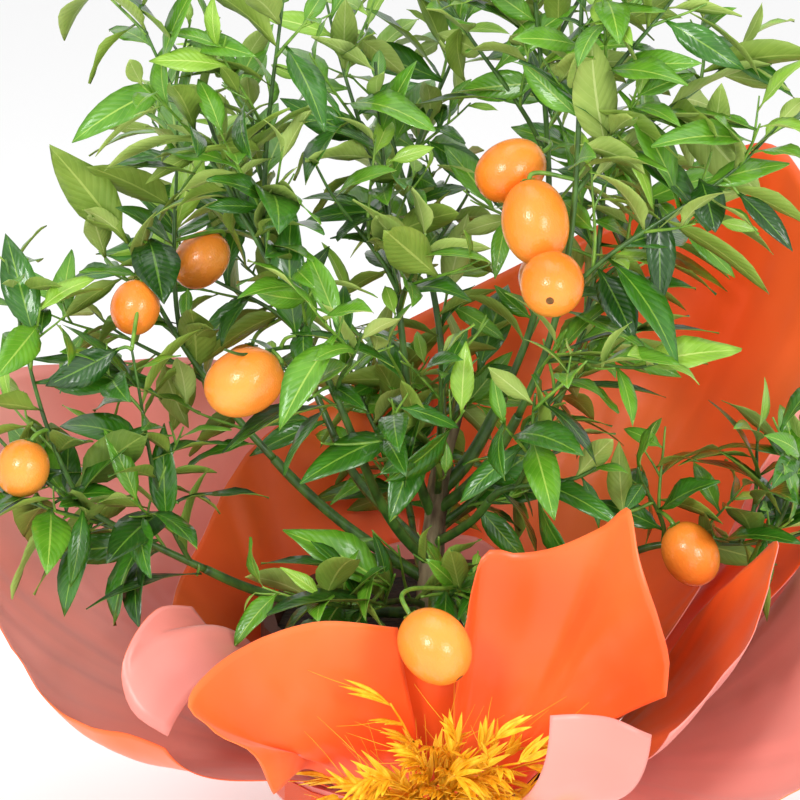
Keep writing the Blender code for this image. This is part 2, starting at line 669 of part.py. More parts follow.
class Room:
    """Says where a mass may grow: nearer its own lines than any other's, and clear of all else."""

    def __init__(self, name, lines_of, trees, fruit):
        self.own = lines_of[name]
        self.others = [line for other, lines in lines_of.items() if other != name for line in lines]
        self.trees = trees
        self.fruit = fruit
        self.planted = []

    def holds(self, points):
        for point in points:
            mine, _ = nearest_on(self.own, point)
            if mine > 0.004:
                theirs, _ = nearest_on(self.others, point)
                if theirs < mine:
                    return False
        return True

    def clear(self, points, near_root=1):
        for tree in self.trees:
            for a, b in zip(points, points[1:]):
                run = b - a
                if tree.ray_cast(a, run.normalized(), run.length)[0] is not None:
                    return False
            for point in points[near_root:]:
                if tree.find_nearest(point, CLEARANCE)[0] is not None:
                    return False
        return True

    def takes(self, root, tip, face, side, width):
        """Whether a leaf here, a little swollen, crosses nothing; if so its place is kept."""
        way = (tip - root).normalized()
        start = root + way * 0.004
        hull = leaf_points(start, tip + way * HULL_MARGIN, face, side, width + 2 * HULL_MARGIN, 2 * HULL_MARGIN)
        leaf = BVHTree.FromPolygons(hull, LEAF_FACES)
        if any(leaf.overlap(tree) for tree in self.trees):
            return False
        middle = root.lerp(tip, 0.5)
        if any((middle - place).length < 0.06 and leaf.overlap(other) for place, other in self.planted):
            return False
        self.planted.append((middle, leaf))
        return True

    def off_fruit(self, points, margin=0.002):
        for middle, radius in self.fruit:
            for point in points:
                step = point - middle
                ahead = max(0.0, min(SIGHT_REACH, step.dot(SIGHT_WAY)))
                if (step - SIGHT_WAY * ahead).length < radius + margin:
                    return False
        return True


def leaf_points(root, tip, face, side, width, least=0.0006):
    """The six corners of a leaf of eight faces: root, left, tip, right, top and bottom."""
    length = (tip - root).length
    middle = root.lerp(tip, 0.46) + face * length * LEAF_ARCH
    fold = face * width * 0.10
    half = side * width * 0.5
    thick = face * max(length * LEAF_THICKNESS, least) * 0.5
    return [root, middle + half + fold, tip, middle - half + fold, middle + thick, middle - thick]


LEAF_FACES = [(1, 0, 4), (2, 1, 4), (3, 2, 4), (0, 3, 4), (0, 1, 5), (1, 2, 5), (2, 3, 5), (3, 0, 5)]


def try_leaf(line, place, length, turn, scale, rng, room, leaves):
    """Sets one leaf at this place on the line if there is room for it."""
    share = place / length
    root, lead = along(line, share)
    level = lead.cross(UP)
    if level.length < 0.05:
        level = Vector((1.0, 0.0, 0.0))
    level.normalize()
    other = lead.cross(level)
    out = level * math.cos(turn) + other * math.sin(turn)
    spread = math.radians(rng.uniform(48, 80) - 30 * share**3)
    droop = rng.uniform(0.05, 0.55) * (1.0 - share**4)
    size = LEAF_LENGTH * scale * rng.uniform(0.72, 1.10) * (1.0 - 0.48 * share**3)
    roll = rng.gauss(0.0, 0.38)
    way = (lead * math.cos(spread) + out * math.sin(spread) - UP * droop).normalized()
    face, side = leaf_frame(way, out + lead * 0.3)
    face = (face * math.cos(roll) + side * math.sin(roll)).normalized()
    side = face.cross(way).normalized()
    width = size * LEAF_ASPECT * rng.uniform(0.85, 1.15)
    tip = root + way * size
    corners = leaf_points(root, tip, face, side, width)
    cell = [corners[1], corners[2], corners[3], root.lerp(tip, 0.75)]
    sight = cell + [root.lerp(tip, 0.12), corners[4]]
    if room.holds(cell) and room.off_fruit(sight) and room.takes(root, tip, face, side, width):
        leaves.append(corners)
        return True
    return False


def grow(line, rng, room, leaves, first=0.012):
    """Sets leaves along a line in a spiral; one with no room is drawn again, smaller, then left out."""
    length = sum((b - a).length for a, b in zip(line, line[1:]))
    place = first
    turn = rng.uniform(0.0, 2 * math.pi)
    while place < length:
        for scale in LEAF_TRIES:
            if try_leaf(line, place, length, turn + rng.uniform(-0.9, 0.9), scale, rng, room, leaves):
                break
        place += LEAF_EVERY * rng.uniform(0.8, 1.2)
        turn += GOLDEN_TURN


def side_twigs(line, rng, room, twigs):
    """Short twigs off a line, each where there is room for it."""
    length = sum((b - a).length for a, b in zip(line, line[1:]))
    place = TWIG_EVERY * rng.uniform(0.5, 0.9)
    turn = rng.uniform(0.0, 2 * math.pi)
    while place < length * 0.86:
        root, lead = along(line, place / length)
        level = lead.cross(UP).normalized()
        other = lead.cross(level)
        out = level * math.cos(turn) + other * math.sin(turn)
        size = rng.uniform(0.030, 0.055) * (1.0 - 0.4 * place / length)
        way = (lead * 0.7 + out * 0.8 + UP * 0.15).normalized()
        tip = root + way * size + UP * size * 0.12
        twig = limb(root, (way + lead * 0.3).normalized(), tip, (way + UP * 0.3).normalized(), 4)
        if room.holds(twig[1:]) and room.clear(twig) and room.off_fruit(twig[1:]):
            twigs.append(twig)
        place += TWIG_EVERY * rng.uniform(0.75, 1.25)
        turn += GOLDEN_TURN + rng.uniform(-0.3, 0.3)


def twig_mesh(name, line, start_radius, end_radius):
    """A three-sided tapering twig with closed ends."""
    verts, faces = [], []
    last = len(line) - 1
    normal = None
    for i, point in enumerate(line):
        lead = (line[min(i + 1, last)] - line[max(i - 1, 0)]).normalized()
        if normal is None:
            normal = lead.orthogonal().normalized()
        normal = (normal - lead * normal.dot(lead)).normalized()
        other = lead.cross(normal)
        radius = start_radius + (end_radius - start_radius) * i / last
        for k in range(3):
            angle = 2 * math.pi * k / 3
            verts.append(point + (normal * math.cos(angle) + other * math.sin(angle)) * radius)
    for i in range(last):
        for k in range(3):
            a, b = i * 3 + k, i * 3 + (k + 1) % 3
            faces.append((a, b, b + 3, a + 3))
    faces.append((2, 1, 0))
    faces.append((last * 3, last * 3 + 1, last * 3 + 2))
    return mesh_from(name, verts, faces)


def fruit_mesh(name, middle, axis, length, width):
    """An oval fruit: a faceted ball drawn out along its axis."""
    bm = bmesh.new()
    bmesh.ops.create_icosphere(bm, subdivisions=2, radius=0.5)
    turn = axis.to_track_quat("Z", "Y").to_matrix().to_4x4()
    stretch = Matrix.Diagonal((width * 1.02, width * 1.02, length * 1.02, 1.0))
    bmesh.ops.transform(bm, matrix=Matrix.Translation(middle) @ turn @ stretch, verts=bm.verts)
    mesh = bpy.data.meshes.new(name)
    bm.to_mesh(mesh)
    bm.free()
    return mesh


def keep_main_body(mesh):
    """Drops loose scraps and the shells of sealed hollows, and keeps the largest body."""
    bm = bmesh.new()
    bm.from_mesh(mesh)
    left = set(bm.faces)
    groups = []
    while left:
        stack = [left.pop()]
        group = list(stack)
        while stack:
            for edge in stack.pop().edges:
                for other in edge.link_faces:
                    if other in left:
                        left.remove(other)
                        stack.append(other)
                        group.append(other)
        groups.append(group)
    groups.sort(key=len, reverse=True)
    for group in groups[1:]:
        bmesh.ops.delete(bm, geom=group, context="FACES")
    bmesh.ops.dissolve_limit(bm, angle_limit=FLAT, verts=bm.verts, edges=bm.edges)
    bmesh.ops.triangulate(bm, faces=bm.faces)
    bm.to_mesh(mesh)
    bm.free()


def fuse(name, meshes, slot, parts, cutters):
    """Joins the meshes into one body by a single union."""
    body = add_object(name, meshes[0], slot, parts)
    pieces = bpy.data.collections.new(name + "_pieces")
    cutters.children.link(pieces)
    for i, mesh in enumerate(meshes[1:]):
        piece = add_object(f"{name}_piece_{i}", mesh, None, pieces)
        piece.hide_render = True
        piece.display_type = "WIRE"
    join = body.modifiers.new("Join", "BOOLEAN")
    join.operation = "UNION"
    join.operand_type = "COLLECTION"
    join.collection = pieces
    join.solver = "MANIFOLD"
    apply_modifiers(body)
    for piece in list(pieces.objects):
        bpy.data.objects.remove(piece, do_unlink=True)
    bpy.data.collections.remove(pieces)
    keep_main_body(body.data)
    return body


def make_masses(parts, cutters, ends, solids):
    bark = solid_tree([bpy.data.objects["trunk"]])
    lines_of = {name: plan_mass(name, ends, bark) for name in MASSES}
    balls = [(Vector(middle), max(length, width) * 0.5) for _, middle, _, length, width in FRUIT]
    trees = [solids]
    for index, name in enumerate(MASSES):
        rng = random.Random(SEED + index)
        room = Room(name, lines_of, trees, balls)
        lines = lines_of[name]
        twigs = []
        for line in lines:
            side_twigs(line, rng, room, twigs)
        single = lone_leaves(name, lines, room)
        leaves = []
        for line in lines:
            grow(line, rng, room, leaves)
        for twig in twigs:
            grow(twig, rng, room, leaves, first=0.009)
        meshes = [twig_mesh(name, lines[0], STEM_RADIUS, STEM_RADIUS * TIP_SHARE)]
        meshes += [twig_mesh("arm", line, ARM_RADIUS, ARM_RADIUS * TIP_SHARE) for line in lines[1:]]
        meshes += [twig_mesh("twig", twig, TWIG_RADIUS, TWIG_RADIUS * TIP_SHARE) for twig in twigs]
        meshes += single
        meshes += own_fruit(name, lines)
        for corners in leaves:
            meshes.append(mesh_from("leaf", corners, LEAF_FACES))
        mass = fuse(name, meshes, "foliage", parts, cutters)
        trees.append(solid_tree([mass]))


def lone_leaves(name, lines, room):
    """The mass's named leaves, each on a short stalk from the nearest line."""
    meshes = []
    for mass, root, tip, width in LONE_LEAVES:
        if mass != name:
            continue
        root, tip = Vector(root), Vector(tip)
        _, foot = nearest_on(lines, root)
        way = (tip - root).normalized()
        face, side = leaf_frame(way, tip - foot)
        corners = leaf_points(root - way * 0.0015, tip, face, side, width)
        stalk = [foot, root + way * 0.002]
        if not room.takes(root, tip, face, side, width):
            continue
        meshes.append(mesh_from("leaf", corners, LEAF_FACES))
        if (stalk[1] - foot).length > 0.001:
            meshes.append(twig_mesh("stalk", stalk, TWIG_RADIUS, TWIG_RADIUS * 0.6))
    return meshes


def own_fruit(name, lines):
    """The mass's fruit, each with its stalk from the nearest line."""
    meshes = []
    for mass, middle, axis, length, width in FRUIT:
        if mass != name:
            continue
        middle, axis = Vector(middle), Vector(axis).normalized()
        crown = middle + axis * length * 0.5
        _, foot = nearest_on(lines, crown)
        stalk = limb(foot, (crown - foot + UP * 0.004).normalized(), crown - axis * 0.002, -axis, 4)
        meshes.append(twig_mesh("stalk", stalk, TWIG_RADIUS, TWIG_RADIUS))
        meshes.append(fruit_mesh("fruit", middle, axis, length, width))
    return meshes


def make_oats(parts, cutters, solids):
    """A bunch of dried oats: stems fanned from one bundle, with pointed heads along them."""
    rng = random.Random(SEED + 500)
    lead = (OAT_BUNDLE_TOP - OAT_KNOT).normalized()
    meshes = [twig_mesh("oat_spray", [OAT_KNOT, OAT_BUNDLE_TOP], OAT_BUNDLE_RADIUS, OAT_BUNDLE_RADIUS * 0.8)]
    side = Vector((1.0, 0.0, 0.0))
    for i in range(OAT_STEMS):
        swing = math.radians(OAT_FAN * (i / (OAT_STEMS - 1) - 0.5) * 2 * 0.5 + rng.uniform(-5, 5))
        tilt = rng.uniform(-0.10, 0.22)
        way = (lead * math.cos(swing) + side * math.sin(swing) + lead.cross(side) * tilt).normalized()
        root = OAT_BUNDLE_TOP - lead * rng.uniform(0.003, 0.012)
        tip = root + way * OAT_REACH * rng.uniform(0.55, 1.0)
        stem = limb(root, lead, tip, (way - UP * 0.5).normalized(), 5)
        if solids.ray_cast(stem[1], (tip - stem[1]).normalized(), (tip - stem[1]).length)[0] is not None:
            continue
        meshes.append(twig_mesh("oat_stem", stem, OAT_STEM_RADIUS, OAT_STEM_RADIUS * 0.7))
        for k in range(OAT_HEADS_EACH):
            root, along_stem = along(stem, 0.45 + 0.5 * k / (OAT_HEADS_EACH - 1))
            turn = rng.uniform(0, 2 * math.pi)
            out = along_stem.orthogonal().normalized()
            out = out * math.cos(turn) + along_stem.cross(out) * math.sin(turn)
            head_way = (along_stem + out * 0.55 - UP * 0.15).normalized()
            size = OAT_HEAD_LENGTH * rng.uniform(0.8, 1.15)
            tip_of_head = root + head_way * size
            face, across_head = leaf_frame(head_way, out)
            middle = root.lerp(tip_of_head, 0.42)
            wide, deep = across_head * OAT_HEAD_WIDTH * 0.5, face * OAT_HEAD_WIDTH * 0.35
            corners = [root, middle + wide, tip_of_head, middle - wide, middle + deep, middle - deep]
            near = [solids.find_nearest(p, CLEARANCE + OAT_HEAD_WIDTH * 0.5)[0] for p in (middle, tip_of_head)]
            if near == [None, None]:
                meshes.append(mesh_from("oat_head", corners, LEAF_FACES))
    return fuse("oat_spray", meshes, "oat", parts, cutters)


def build():
    clear_scene()
    parts = collection("potted_calamondin_tree")
    cutters = collection("cutters")
    cutters.hide_render = True
    solids = [make_pot(parts), make_soil(parts), make_trunk("trunk", parts), make_stub(parts)]
    ends = make_boughs(parts, cutters)
    solids += [bpy.data.objects[name] for name in BOUGHS]
    solids += make_wrap(parts)
    bpy.context.view_layer.update()
    tree = solid_tree(solids)
    make_masses(parts, cutters, ends, tree)
    make_oats(parts, cutters, tree)


build()
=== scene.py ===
"""The looks of a potted calamondin tree in two-coloured florist's film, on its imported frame."""

import math
import random

import bpy
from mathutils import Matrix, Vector, noise
from mathutils.bvhtree import BVHTree
from mathutils.kdtree import KDTree


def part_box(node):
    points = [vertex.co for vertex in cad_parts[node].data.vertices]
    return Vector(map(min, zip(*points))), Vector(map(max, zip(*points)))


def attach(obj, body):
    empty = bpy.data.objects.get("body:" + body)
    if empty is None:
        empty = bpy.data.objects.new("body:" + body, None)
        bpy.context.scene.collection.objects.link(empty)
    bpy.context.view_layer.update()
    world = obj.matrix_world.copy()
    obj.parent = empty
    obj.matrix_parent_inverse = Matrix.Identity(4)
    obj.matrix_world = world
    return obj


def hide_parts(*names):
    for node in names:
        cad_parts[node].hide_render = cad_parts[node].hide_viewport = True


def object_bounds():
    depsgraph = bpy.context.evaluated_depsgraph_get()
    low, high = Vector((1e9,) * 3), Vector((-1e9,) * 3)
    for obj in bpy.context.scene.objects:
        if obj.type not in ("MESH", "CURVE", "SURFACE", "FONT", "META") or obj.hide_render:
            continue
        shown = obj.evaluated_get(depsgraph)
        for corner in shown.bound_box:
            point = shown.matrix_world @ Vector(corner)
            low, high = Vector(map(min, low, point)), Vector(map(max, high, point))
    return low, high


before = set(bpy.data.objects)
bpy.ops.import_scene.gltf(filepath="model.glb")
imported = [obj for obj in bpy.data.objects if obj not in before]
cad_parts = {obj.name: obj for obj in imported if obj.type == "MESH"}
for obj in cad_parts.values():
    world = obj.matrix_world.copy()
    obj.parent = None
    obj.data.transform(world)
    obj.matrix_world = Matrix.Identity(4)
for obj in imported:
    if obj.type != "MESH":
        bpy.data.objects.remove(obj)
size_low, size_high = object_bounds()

# Pot: a nursery pot, injection moulded in brown polypropylene and filled with damp potting mix up to
# 7 mm below its rim. The film hides nearly all of both, so their solids stay and take a finish.
# Sizes are in metres. A pattern's size is that of the real one, in millimetres.
TWO_TONE_STOPS = (0.34, 0.66)


def linear(code):
    """An sRGB hex colour as linear red, green, blue and alpha."""
    parts = [int(code[i:i + 2], 16) / 255 for i in (1, 3, 5)]
    return tuple(c / 12.92 if c <= 0.04045 else ((c + 0.055) / 1.055) ** 2.4 for c in parts) + (1.0,)


def add_node(tree, kind, inputs=(), **values):
    """A new node. An input is (input, value) or (input, node, output); settings go by their names."""
    node = tree.nodes.new(kind)
    for name, value in values.items():
        if name in node.bl_rna.properties:
            setattr(node, name, value)
        else:
            node.inputs[name.replace("_", " ")].default_value = value
    for name, source, *output in inputs:
        if output:
            tree.links.new(source.outputs[output[0]], node.inputs[name])
        else:
            node.inputs[name].default_value = source
    return node


def set_stops(ramp, places, colours):
    """Puts the ramp's two stops at these places with these colours."""
    for stop, place, colour in zip(ramp.color_ramp.elements, places, colours):
        stop.position = place
        stop.color = linear(colour)


def join(tree, shader, colour, relief):
    """Leads the colour and the relief into the shader."""
    tree.links.new(colour.outputs["Color"], shader.inputs["Base Color"])
    tree.links.new(relief.outputs["Normal"], shader.inputs["Normal"])


def finish_of(name, rough, coat=0.0, ior=1.46):
    """A new Principled material: its tree, its shader and an object-space coordinate node."""
    made = bpy.data.materials.new(name)
    made.use_nodes = True
    tree = made.node_tree
    shader = tree.nodes["Principled BSDF"]
    shader.inputs["Roughness"].default_value = rough
    shader.inputs["IOR"].default_value = ior
    shader.inputs["Coat Weight"].default_value = coat
    return made, tree, shader, add_node(tree, "ShaderNodeTexCoord")


def per_metre(millimetres):
    """A pattern's scale from the size of one of its spots or bands."""
    return 1000.0 / millimetres


def mottled(name, dark, light, grain_size, rough, bump, coat=0.0, stretch=(1, 1, 1), depth=0.0004):
    """A finish whose colour drifts between two tones by noise, with the same noise as relief."""
    made, tree, shader, place = finish_of(name, rough, coat)
    mapping = add_node(tree, "ShaderNodeMapping", [("Vector", place, "Object")], Scale=stretch)
    grain = add_node(tree, "ShaderNodeTexNoise", [("Vector", mapping, "Vector")],
                     Scale=per_metre(grain_size), Detail=4.0)
    ramp = add_node(tree, "ShaderNodeValToRGB", [("Fac", grain, "Fac")])
    set_stops(ramp, TWO_TONE_STOPS, (dark, light))
    relief = add_node(tree, "ShaderNodeBump", [("Height", grain, "Fac")], Strength=bump, Distance=depth)
    join(tree, shader, ramp, relief)
    return made


def dress(node, finish):
    """Gives a CAD node its finish in every slot."""
    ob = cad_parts[node]
    ob.data.materials.clear()
    ob.data.materials.append(finish)


def mesh_object(name, verts, faces, finishes, marks=None):
    """A new object from points and faces; marks gives each face its place among the finishes."""
    mesh = bpy.data.meshes.new(name)
    mesh.from_pydata(verts, [], faces)
    for finish in finishes:
        mesh.materials.append(finish)
    if marks:
        mesh.polygons.foreach_set("material_index", marks)
    mesh.update()
    mesh.shade_smooth()
    ob = bpy.data.objects.new(name, mesh)
    bpy.context.scene.collection.objects.link(ob)
    return ob


def apply_all(ob):
    """Applies the object's modifiers in order."""
    bpy.ops.object.select_all(action="DESELECT")
    bpy.context.view_layer.objects.active = ob
    ob.select_set(True)
    for modifier in list(ob.modifiers):
        bpy.ops.object.modifier_apply(modifier=modifier.name)
    ob.select_set(False)


def seat(ob, slot, *nodes):
    """The piece rides on the plant's one body and stands for these nodes."""
    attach(ob, "root")
    if nodes:
        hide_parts(*nodes)
    return ob


# Polypropylene from a spark-eroded mould: the fine 2.4 mm drift gives a dull, even brown.
dress("pot", mottled("moulded_polypropylene", "#3d1f17", "#4a281d", 2.381, 0.55, 0.15))
# Potting mix: crumbs of about 4 mm that stand 3 mm proud give a dark, broken, matt face.
dress("soil", mottled("damp_potting_mix", "#16100b", "#34261a", 4.167, 0.95, 1.0, depth=0.003))

# Film: florist's film, satin, orange on one side and rose on the other, about 0.1 mm thick in life and
# 0.5 mm here. It stands in lapels round the plant and is drawn in under the ribbon, which holds it.
# The lapels' edge lines are the part's.
UP = Vector((0.0, 0.0, 1.0))
FILM = 0.0005
SHEET_FOOT = 0.0806
INNERMOST = 0.0770
LAYER_STEP = 0.0021
FOLD_DEPTH = 0.0011
FINE_ALONG = 34
# Each sheet: slot, bearings of its foot, layer, pitch at its foot, and its edge as (x, y, z, arriving pitch)
SHEETS = {
    "wrap_back_right": (
        "film_orange", (4, 112), 1, 50,
        [(0.166, 0.040, 0.210, 68), (0.212, 0.086, 0.285, 80), (0.183, 0.140, 0.366, 84),
         (0.103, 0.166, 0.323, 80), (0.030, 0.170, 0.285, 78), (-0.029, 0.165, 0.256, 72)],
    ),
    "wrap_back_inner": (
        "film_rose", (56, 92), 0, 62,
        [(0.038, 0.086, 0.152, 74), (0.024, 0.091, 0.161, 76), (0.004, 0.093, 0.162, 76),
         (-0.018, 0.093, 0.158, 76), (-0.040, 0.090, 0.152, 74)],
    ),
    "wrap_back_left_inner": (
        "film_orange", (96, 196), 0, 52,
        [(0.004, 0.146, 0.246, 72), (-0.056, 0.134, 0.230, 70), (-0.099, 0.100, 0.207, 66),
         (-0.120, 0.050, 0.178, 60), (-0.134, 0.000, 0.155, 52), (-0.126, -0.034, 0.136, 40)],
    ),
    "wrap_back_left": (
        "film_rose", (124, 232), 3, 34,
        [(-0.074, 0.170, 0.215, 70), (-0.120, 0.160, 0.242, 72), (-0.184, 0.138, 0.246, 66),
         (-0.230, 0.090, 0.252, 66), (-0.246, 0.040, 0.233, 62), (-0.240, -0.006, 0.196, 58),
         (-0.215, -0.050, 0.160, 56), (-0.190, -0.084, 0.136, 56), (-0.170, -0.104, 0.130, 58),
         (-0.148, -0.120, 0.131, 60), (-0.128, -0.132, 0.128, 60)],
    ),
    "wrap_front_left_rose": (
        "film_rose", (200, 230), 1, 74,
        [(-0.118, -0.084, 0.182, 50), (-0.132, -0.104, 0.188, 30), (-0.144, -0.122, 0.178, 0),
         (-0.148, -0.130, 0.164, -30), (-0.142, -0.138, 0.148, -50), (-0.126, -0.142, 0.138, -55)],
    ),
    "wrap_front_left": (
        "film_orange", (233, 268), 2, 45,
        [(-0.076, -0.168, 0.120, 10), (-0.084, -0.188, 0.148, 20), (-0.101, -0.190, 0.160, 30),
         (-0.114, -0.182, 0.170, 45), (-0.104, -0.166, 0.180, 58), (-0.082, -0.146, 0.188, 68),
         (-0.052, -0.128, 0.190, 74), (-0.019, -0.112, 0.181, 78)],
    ),
    "wrap_front_right": (
        "film_orange", (272, 300), 2, 45,
        [(0.010, -0.112, 0.170, 78), (0.021, -0.102, 0.213, 84), (0.038, -0.104, 0.215, 82),
         (0.057, -0.110, 0.221, 80), (0.075, -0.120, 0.233, 76), (0.087, -0.132, 0.246, 72),
         (0.091, -0.145, 0.228, 60), (0.097, -0.155, 0.208, 50), (0.104, -0.162, 0.186, 40),
         (0.103, -0.164, 0.166, 30)],
    ),
    "wrap_front_right_rose": (
        "film_rose", (284, 302), 3, 14,
        [(0.050, -0.172, 0.160, 92), (0.064, -0.176, 0.162, 92), (0.080, -0.178, 0.160, 90),
         (0.096, -0.176, 0.152, 84)],
    ),
    "wrap_right": (
        "film_orange", (303, 350), 1, 40,
        [(0.106, -0.158, 0.146, 60), (0.122, -0.148, 0.160, 62), (0.142, -0.132, 0.177, 64),
         (0.152, -0.116, 0.193, 66), (0.161, -0.092, 0.217, 68), (0.150, -0.074, 0.200, 66),
         (0.136, -0.058, 0.178, 62), (0.124, -0.044, 0.158, 56)],
    ),
    "wrap_low_right": (
        "film_rose", (305, 358), 3, 26,
        [(0.120, -0.156, 0.100, 26), (0.166, -0.148, 0.112, 32), (0.186, -0.122, 0.128, 44),
         (0.196, -0.096, 0.154, 54), (0.196, -0.066, 0.178, 60), (0.188, -0.036, 0.192, 64),
         (0.186, -0.010, 0.184, 62)],
    ),
    "wrap_right_orange": (
        "film_orange", (0, 34), 2, 40,
        [(0.196, 0.000, 0.190, 58), (0.193, 0.022, 0.203, 60), (0.190, 0.050, 0.212, 62),
         (0.188, 0.066, 0.214, 62)],
    ),
    "wrap_right_rose": (
        "film_rose", (8, 60), 4, 30,
        [(0.218, 0.000, 0.184, 52), (0.222, 0.022, 0.204, 56), (0.216, 0.050, 0.219, 60),
         (0.206, 0.082, 0.222, 62), (0.186, 0.110, 0.216, 64)],
    ),
    "wrap_front_inner": (
        "film_orange", (244, 296), 0, 55,
        [(-0.040, -0.090, 0.158, 74), (-0.012, -0.096, 0.162, 78), (0.016, -0.096, 0.162, 78),
         (0.044, -0.090, 0.158, 74)],
    ),
}
# How far each rib's curve is pulled at its ends, as a share of its length, where the edge rises and
# where it turns down
SHEET_PULL = 0.36
TURNED_PULL = 0.50
FILM_ROUGHNESS = 0.36
FILM_IOR = 1.49
TONE_DRIFT = 111.1
CRUMPLE_SIZE = 58.82
FOLD_SPACING = 0.030
STEP_ACROSS = 0.0055
FEWEST_ACROSS = 18

# The lapels that turn their orange side out; the others turn out the rose
ORANGE_OUTSIDE = {
    "wrap_back_inner", "wrap_back_left", "wrap_front_left", "wrap_front_right", "wrap_front_inner",
    "wrap_right_rose", "wrap_front_left_rose", "wrap_low_right",
}


def bezier(p0, p1, p2, p3, t):
    """A point on the curve from p0 to p3 that p1 and p2 pull."""
    s = 1.0 - t
    return p0 * s**3 + p1 * (3 * s * s * t) + p2 * (3 * s * t * t) + p3 * t**3


def pitched(heading, degrees):
    """The heading's level direction, raised by the pitch."""
    level = Vector((heading.x, heading.y, 0.0)).normalized()
    angle = math.radians(degrees)
    return (level * math.cos(angle) + UP * math.sin(angle)).normalized()


def stretch_at(points, share):
    """Which stretch of the line a share of its length falls in, and how far along that stretch."""
    runs = [(b - a).length for a, b in zip(points, points[1:])]
    goal = share * sum(runs)
    index = 0
    while index < len(runs) - 1 and goal > runs[index]:
        goal -= runs[index]
        index += 1
    return index, min(goal / runs[index], 1.0)


def smooth_point(points, index, t):
    """A point on the smooth line through the points, this far along one of its stretches."""
    before = points[max(index - 1, 0)]
    a, b = points[index], points[index + 1]
    after = points[min(index + 2, len(points) - 1)]
    leave, arrive = (b - before) * 0.5, (after - a) * 0.5
    return (a * (2 * t**3 - 3 * t**2 + 1) + leave * (t**3 - 2 * t**2 + t)
            + b * (3 * t**2 - 2 * t**3) + arrive * (t**3 - t**2))


def edge_point(edge, share):
    """A point and pitch on the smooth line through the edge's points, by share of its length."""
    places = [Vector(e[:3]) for e in edge]
    index, t = stretch_at(places, share)
    pitch = edge[index][3] * (1.0 - t) + edge[index + 1][3] * t
    return smooth_point(places, index, t), pitch


def film_finish(name, deep, bright, sheen):
    """Cast satin film: a plain tone that drifts over a hand's width, soft crumples, a silky gloss."""
    made, tree, shader, place = finish_of(name, FILM_ROUGHNESS, ior=FILM_IOR)
    cloud = add_node(tree, "ShaderNodeTexNoise", [("Vector", place, "Object")],
                     Scale=per_metre(TONE_DRIFT), Detail=1.0)
    ramp = add_node(tree, "ShaderNodeValToRGB", [("Fac", cloud, "Fac")])
    set_stops(ramp, (0.30, 0.70), (deep, bright))
    crumple = add_node(tree, "ShaderNodeTexNoise", [("Vector", place, "Object")],
                       Scale=per_metre(CRUMPLE_SIZE), Detail=2.0)
    relief = add_node(tree, "ShaderNodeBump", [("Height", crumple, "Fac")], Strength=0.40, Distance=0.010)
    join(tree, shader, ramp, relief)
    shader.inputs["Sheen Weight"].default_value = sheen
    shader.inputs["Sheen Roughness"].default_value = 0.4
    return made


# One film with two faces, a hot orange and a dusty rose, both even in tone with a broad silky gloss
film_orange = film_finish("satin_film_orange", "#fa5214", "#ff7c38", 0.12)
film_rose = film_finish("satin_film_rose", "#dc7a6e", "#ec9a8e", 0.15)


def sheet_point(spec, share, rise):
    """A point of the sheet at this share of its width and of its rib's length."""
    _, bearings, layer, leave, edge = spec
    bearing = math.radians(bearings[0] + (bearings[1] - bearings[0]) * share)
    radius = INNERMOST + LAYER_STEP * layer
    foot = Vector((radius * math.cos(bearing), radius * math.sin(bearing), SHEET_FOOT))
    end, pitch = edge_point(edge, share)
    length = (end - foot).length
    out = pitched(Vector((foot.x, foot.y, 0.0)), leave)
    arrive = pitched(end - foot, pitch)
    pull = length * (SHEET_PULL if pitch > 0 else TURNED_PULL)
    return bezier(foot, foot + out * pull, end - arrive * pull, end, rise)


def folds(seed, share, rise, width):
    """Depth of the soft folds that run up a sheet from where it is drawn in."""
    across = share * width / FOLD_SPACING
    drift = noise.noise(Vector((across * 0.9, rise * 1.1, seed * 7.3)))
    crease = 1.0 - 2.0 * abs(noise.noise(Vector((across * 1.6 + 5.0, rise * 0.5, seed * 3.1))))
    near_foot = math.sin(math.pi * min(rise * 1.4, 1.0) * 0.5)
    return FOLD_DEPTH * near_foot * (1.3 * drift + 0.8 * (crease - 0.6))


film_objects = []
for number, (name, spec) in enumerate(SHEETS.items()):
    edge = spec[4]
    width = sum((Vector(b[:3]) - Vector(a[:3])).length for a, b in zip(edge, edge[1:]))
    across = max(FEWEST_ACROSS, round(width / STEP_ACROSS))
    grid = [[sheet_point(spec, i / across, j / FINE_ALONG) for j in range(FINE_ALONG + 1)]
            for i in range(across + 1)]
    verts = []
    for i, rib in enumerate(grid):
        for j, point in enumerate(rib):
            a = grid[min(i + 1, across)][j] - grid[max(i - 1, 0)][j]
            b = rib[min(j + 1, FINE_ALONG)] - rib[max(j - 1, 0)]
            normal = a.cross(b).normalized() if a.cross(b).length else UP
            verts.append(point + normal * folds(number, i / across, j / FINE_ALONG, width))
    row = FINE_ALONG + 1
    faces = [(i * row + j, (i + 1) * row + j, (i + 1) * row + j + 1, i * row + j + 1)
             for i in range(across) for j in range(FINE_ALONG)]
    outer_first = [film_orange, film_rose] if name in ORANGE_OUTSIDE else [film_rose, film_orange]
    ob = mesh_object("film_" + name[5:], verts, faces, outer_first)
    wall = ob.modifiers.new("Film", "SOLIDIFY")
    wall.thickness = FILM
    wall.offset = 0.0
    wall.material_offset = 1
    apply_all(ob)
    film_objects.append(seat(ob, spec[0], name))

dress("wrap_sleeve", film_orange)
dress("wrap_gather", film_rose)

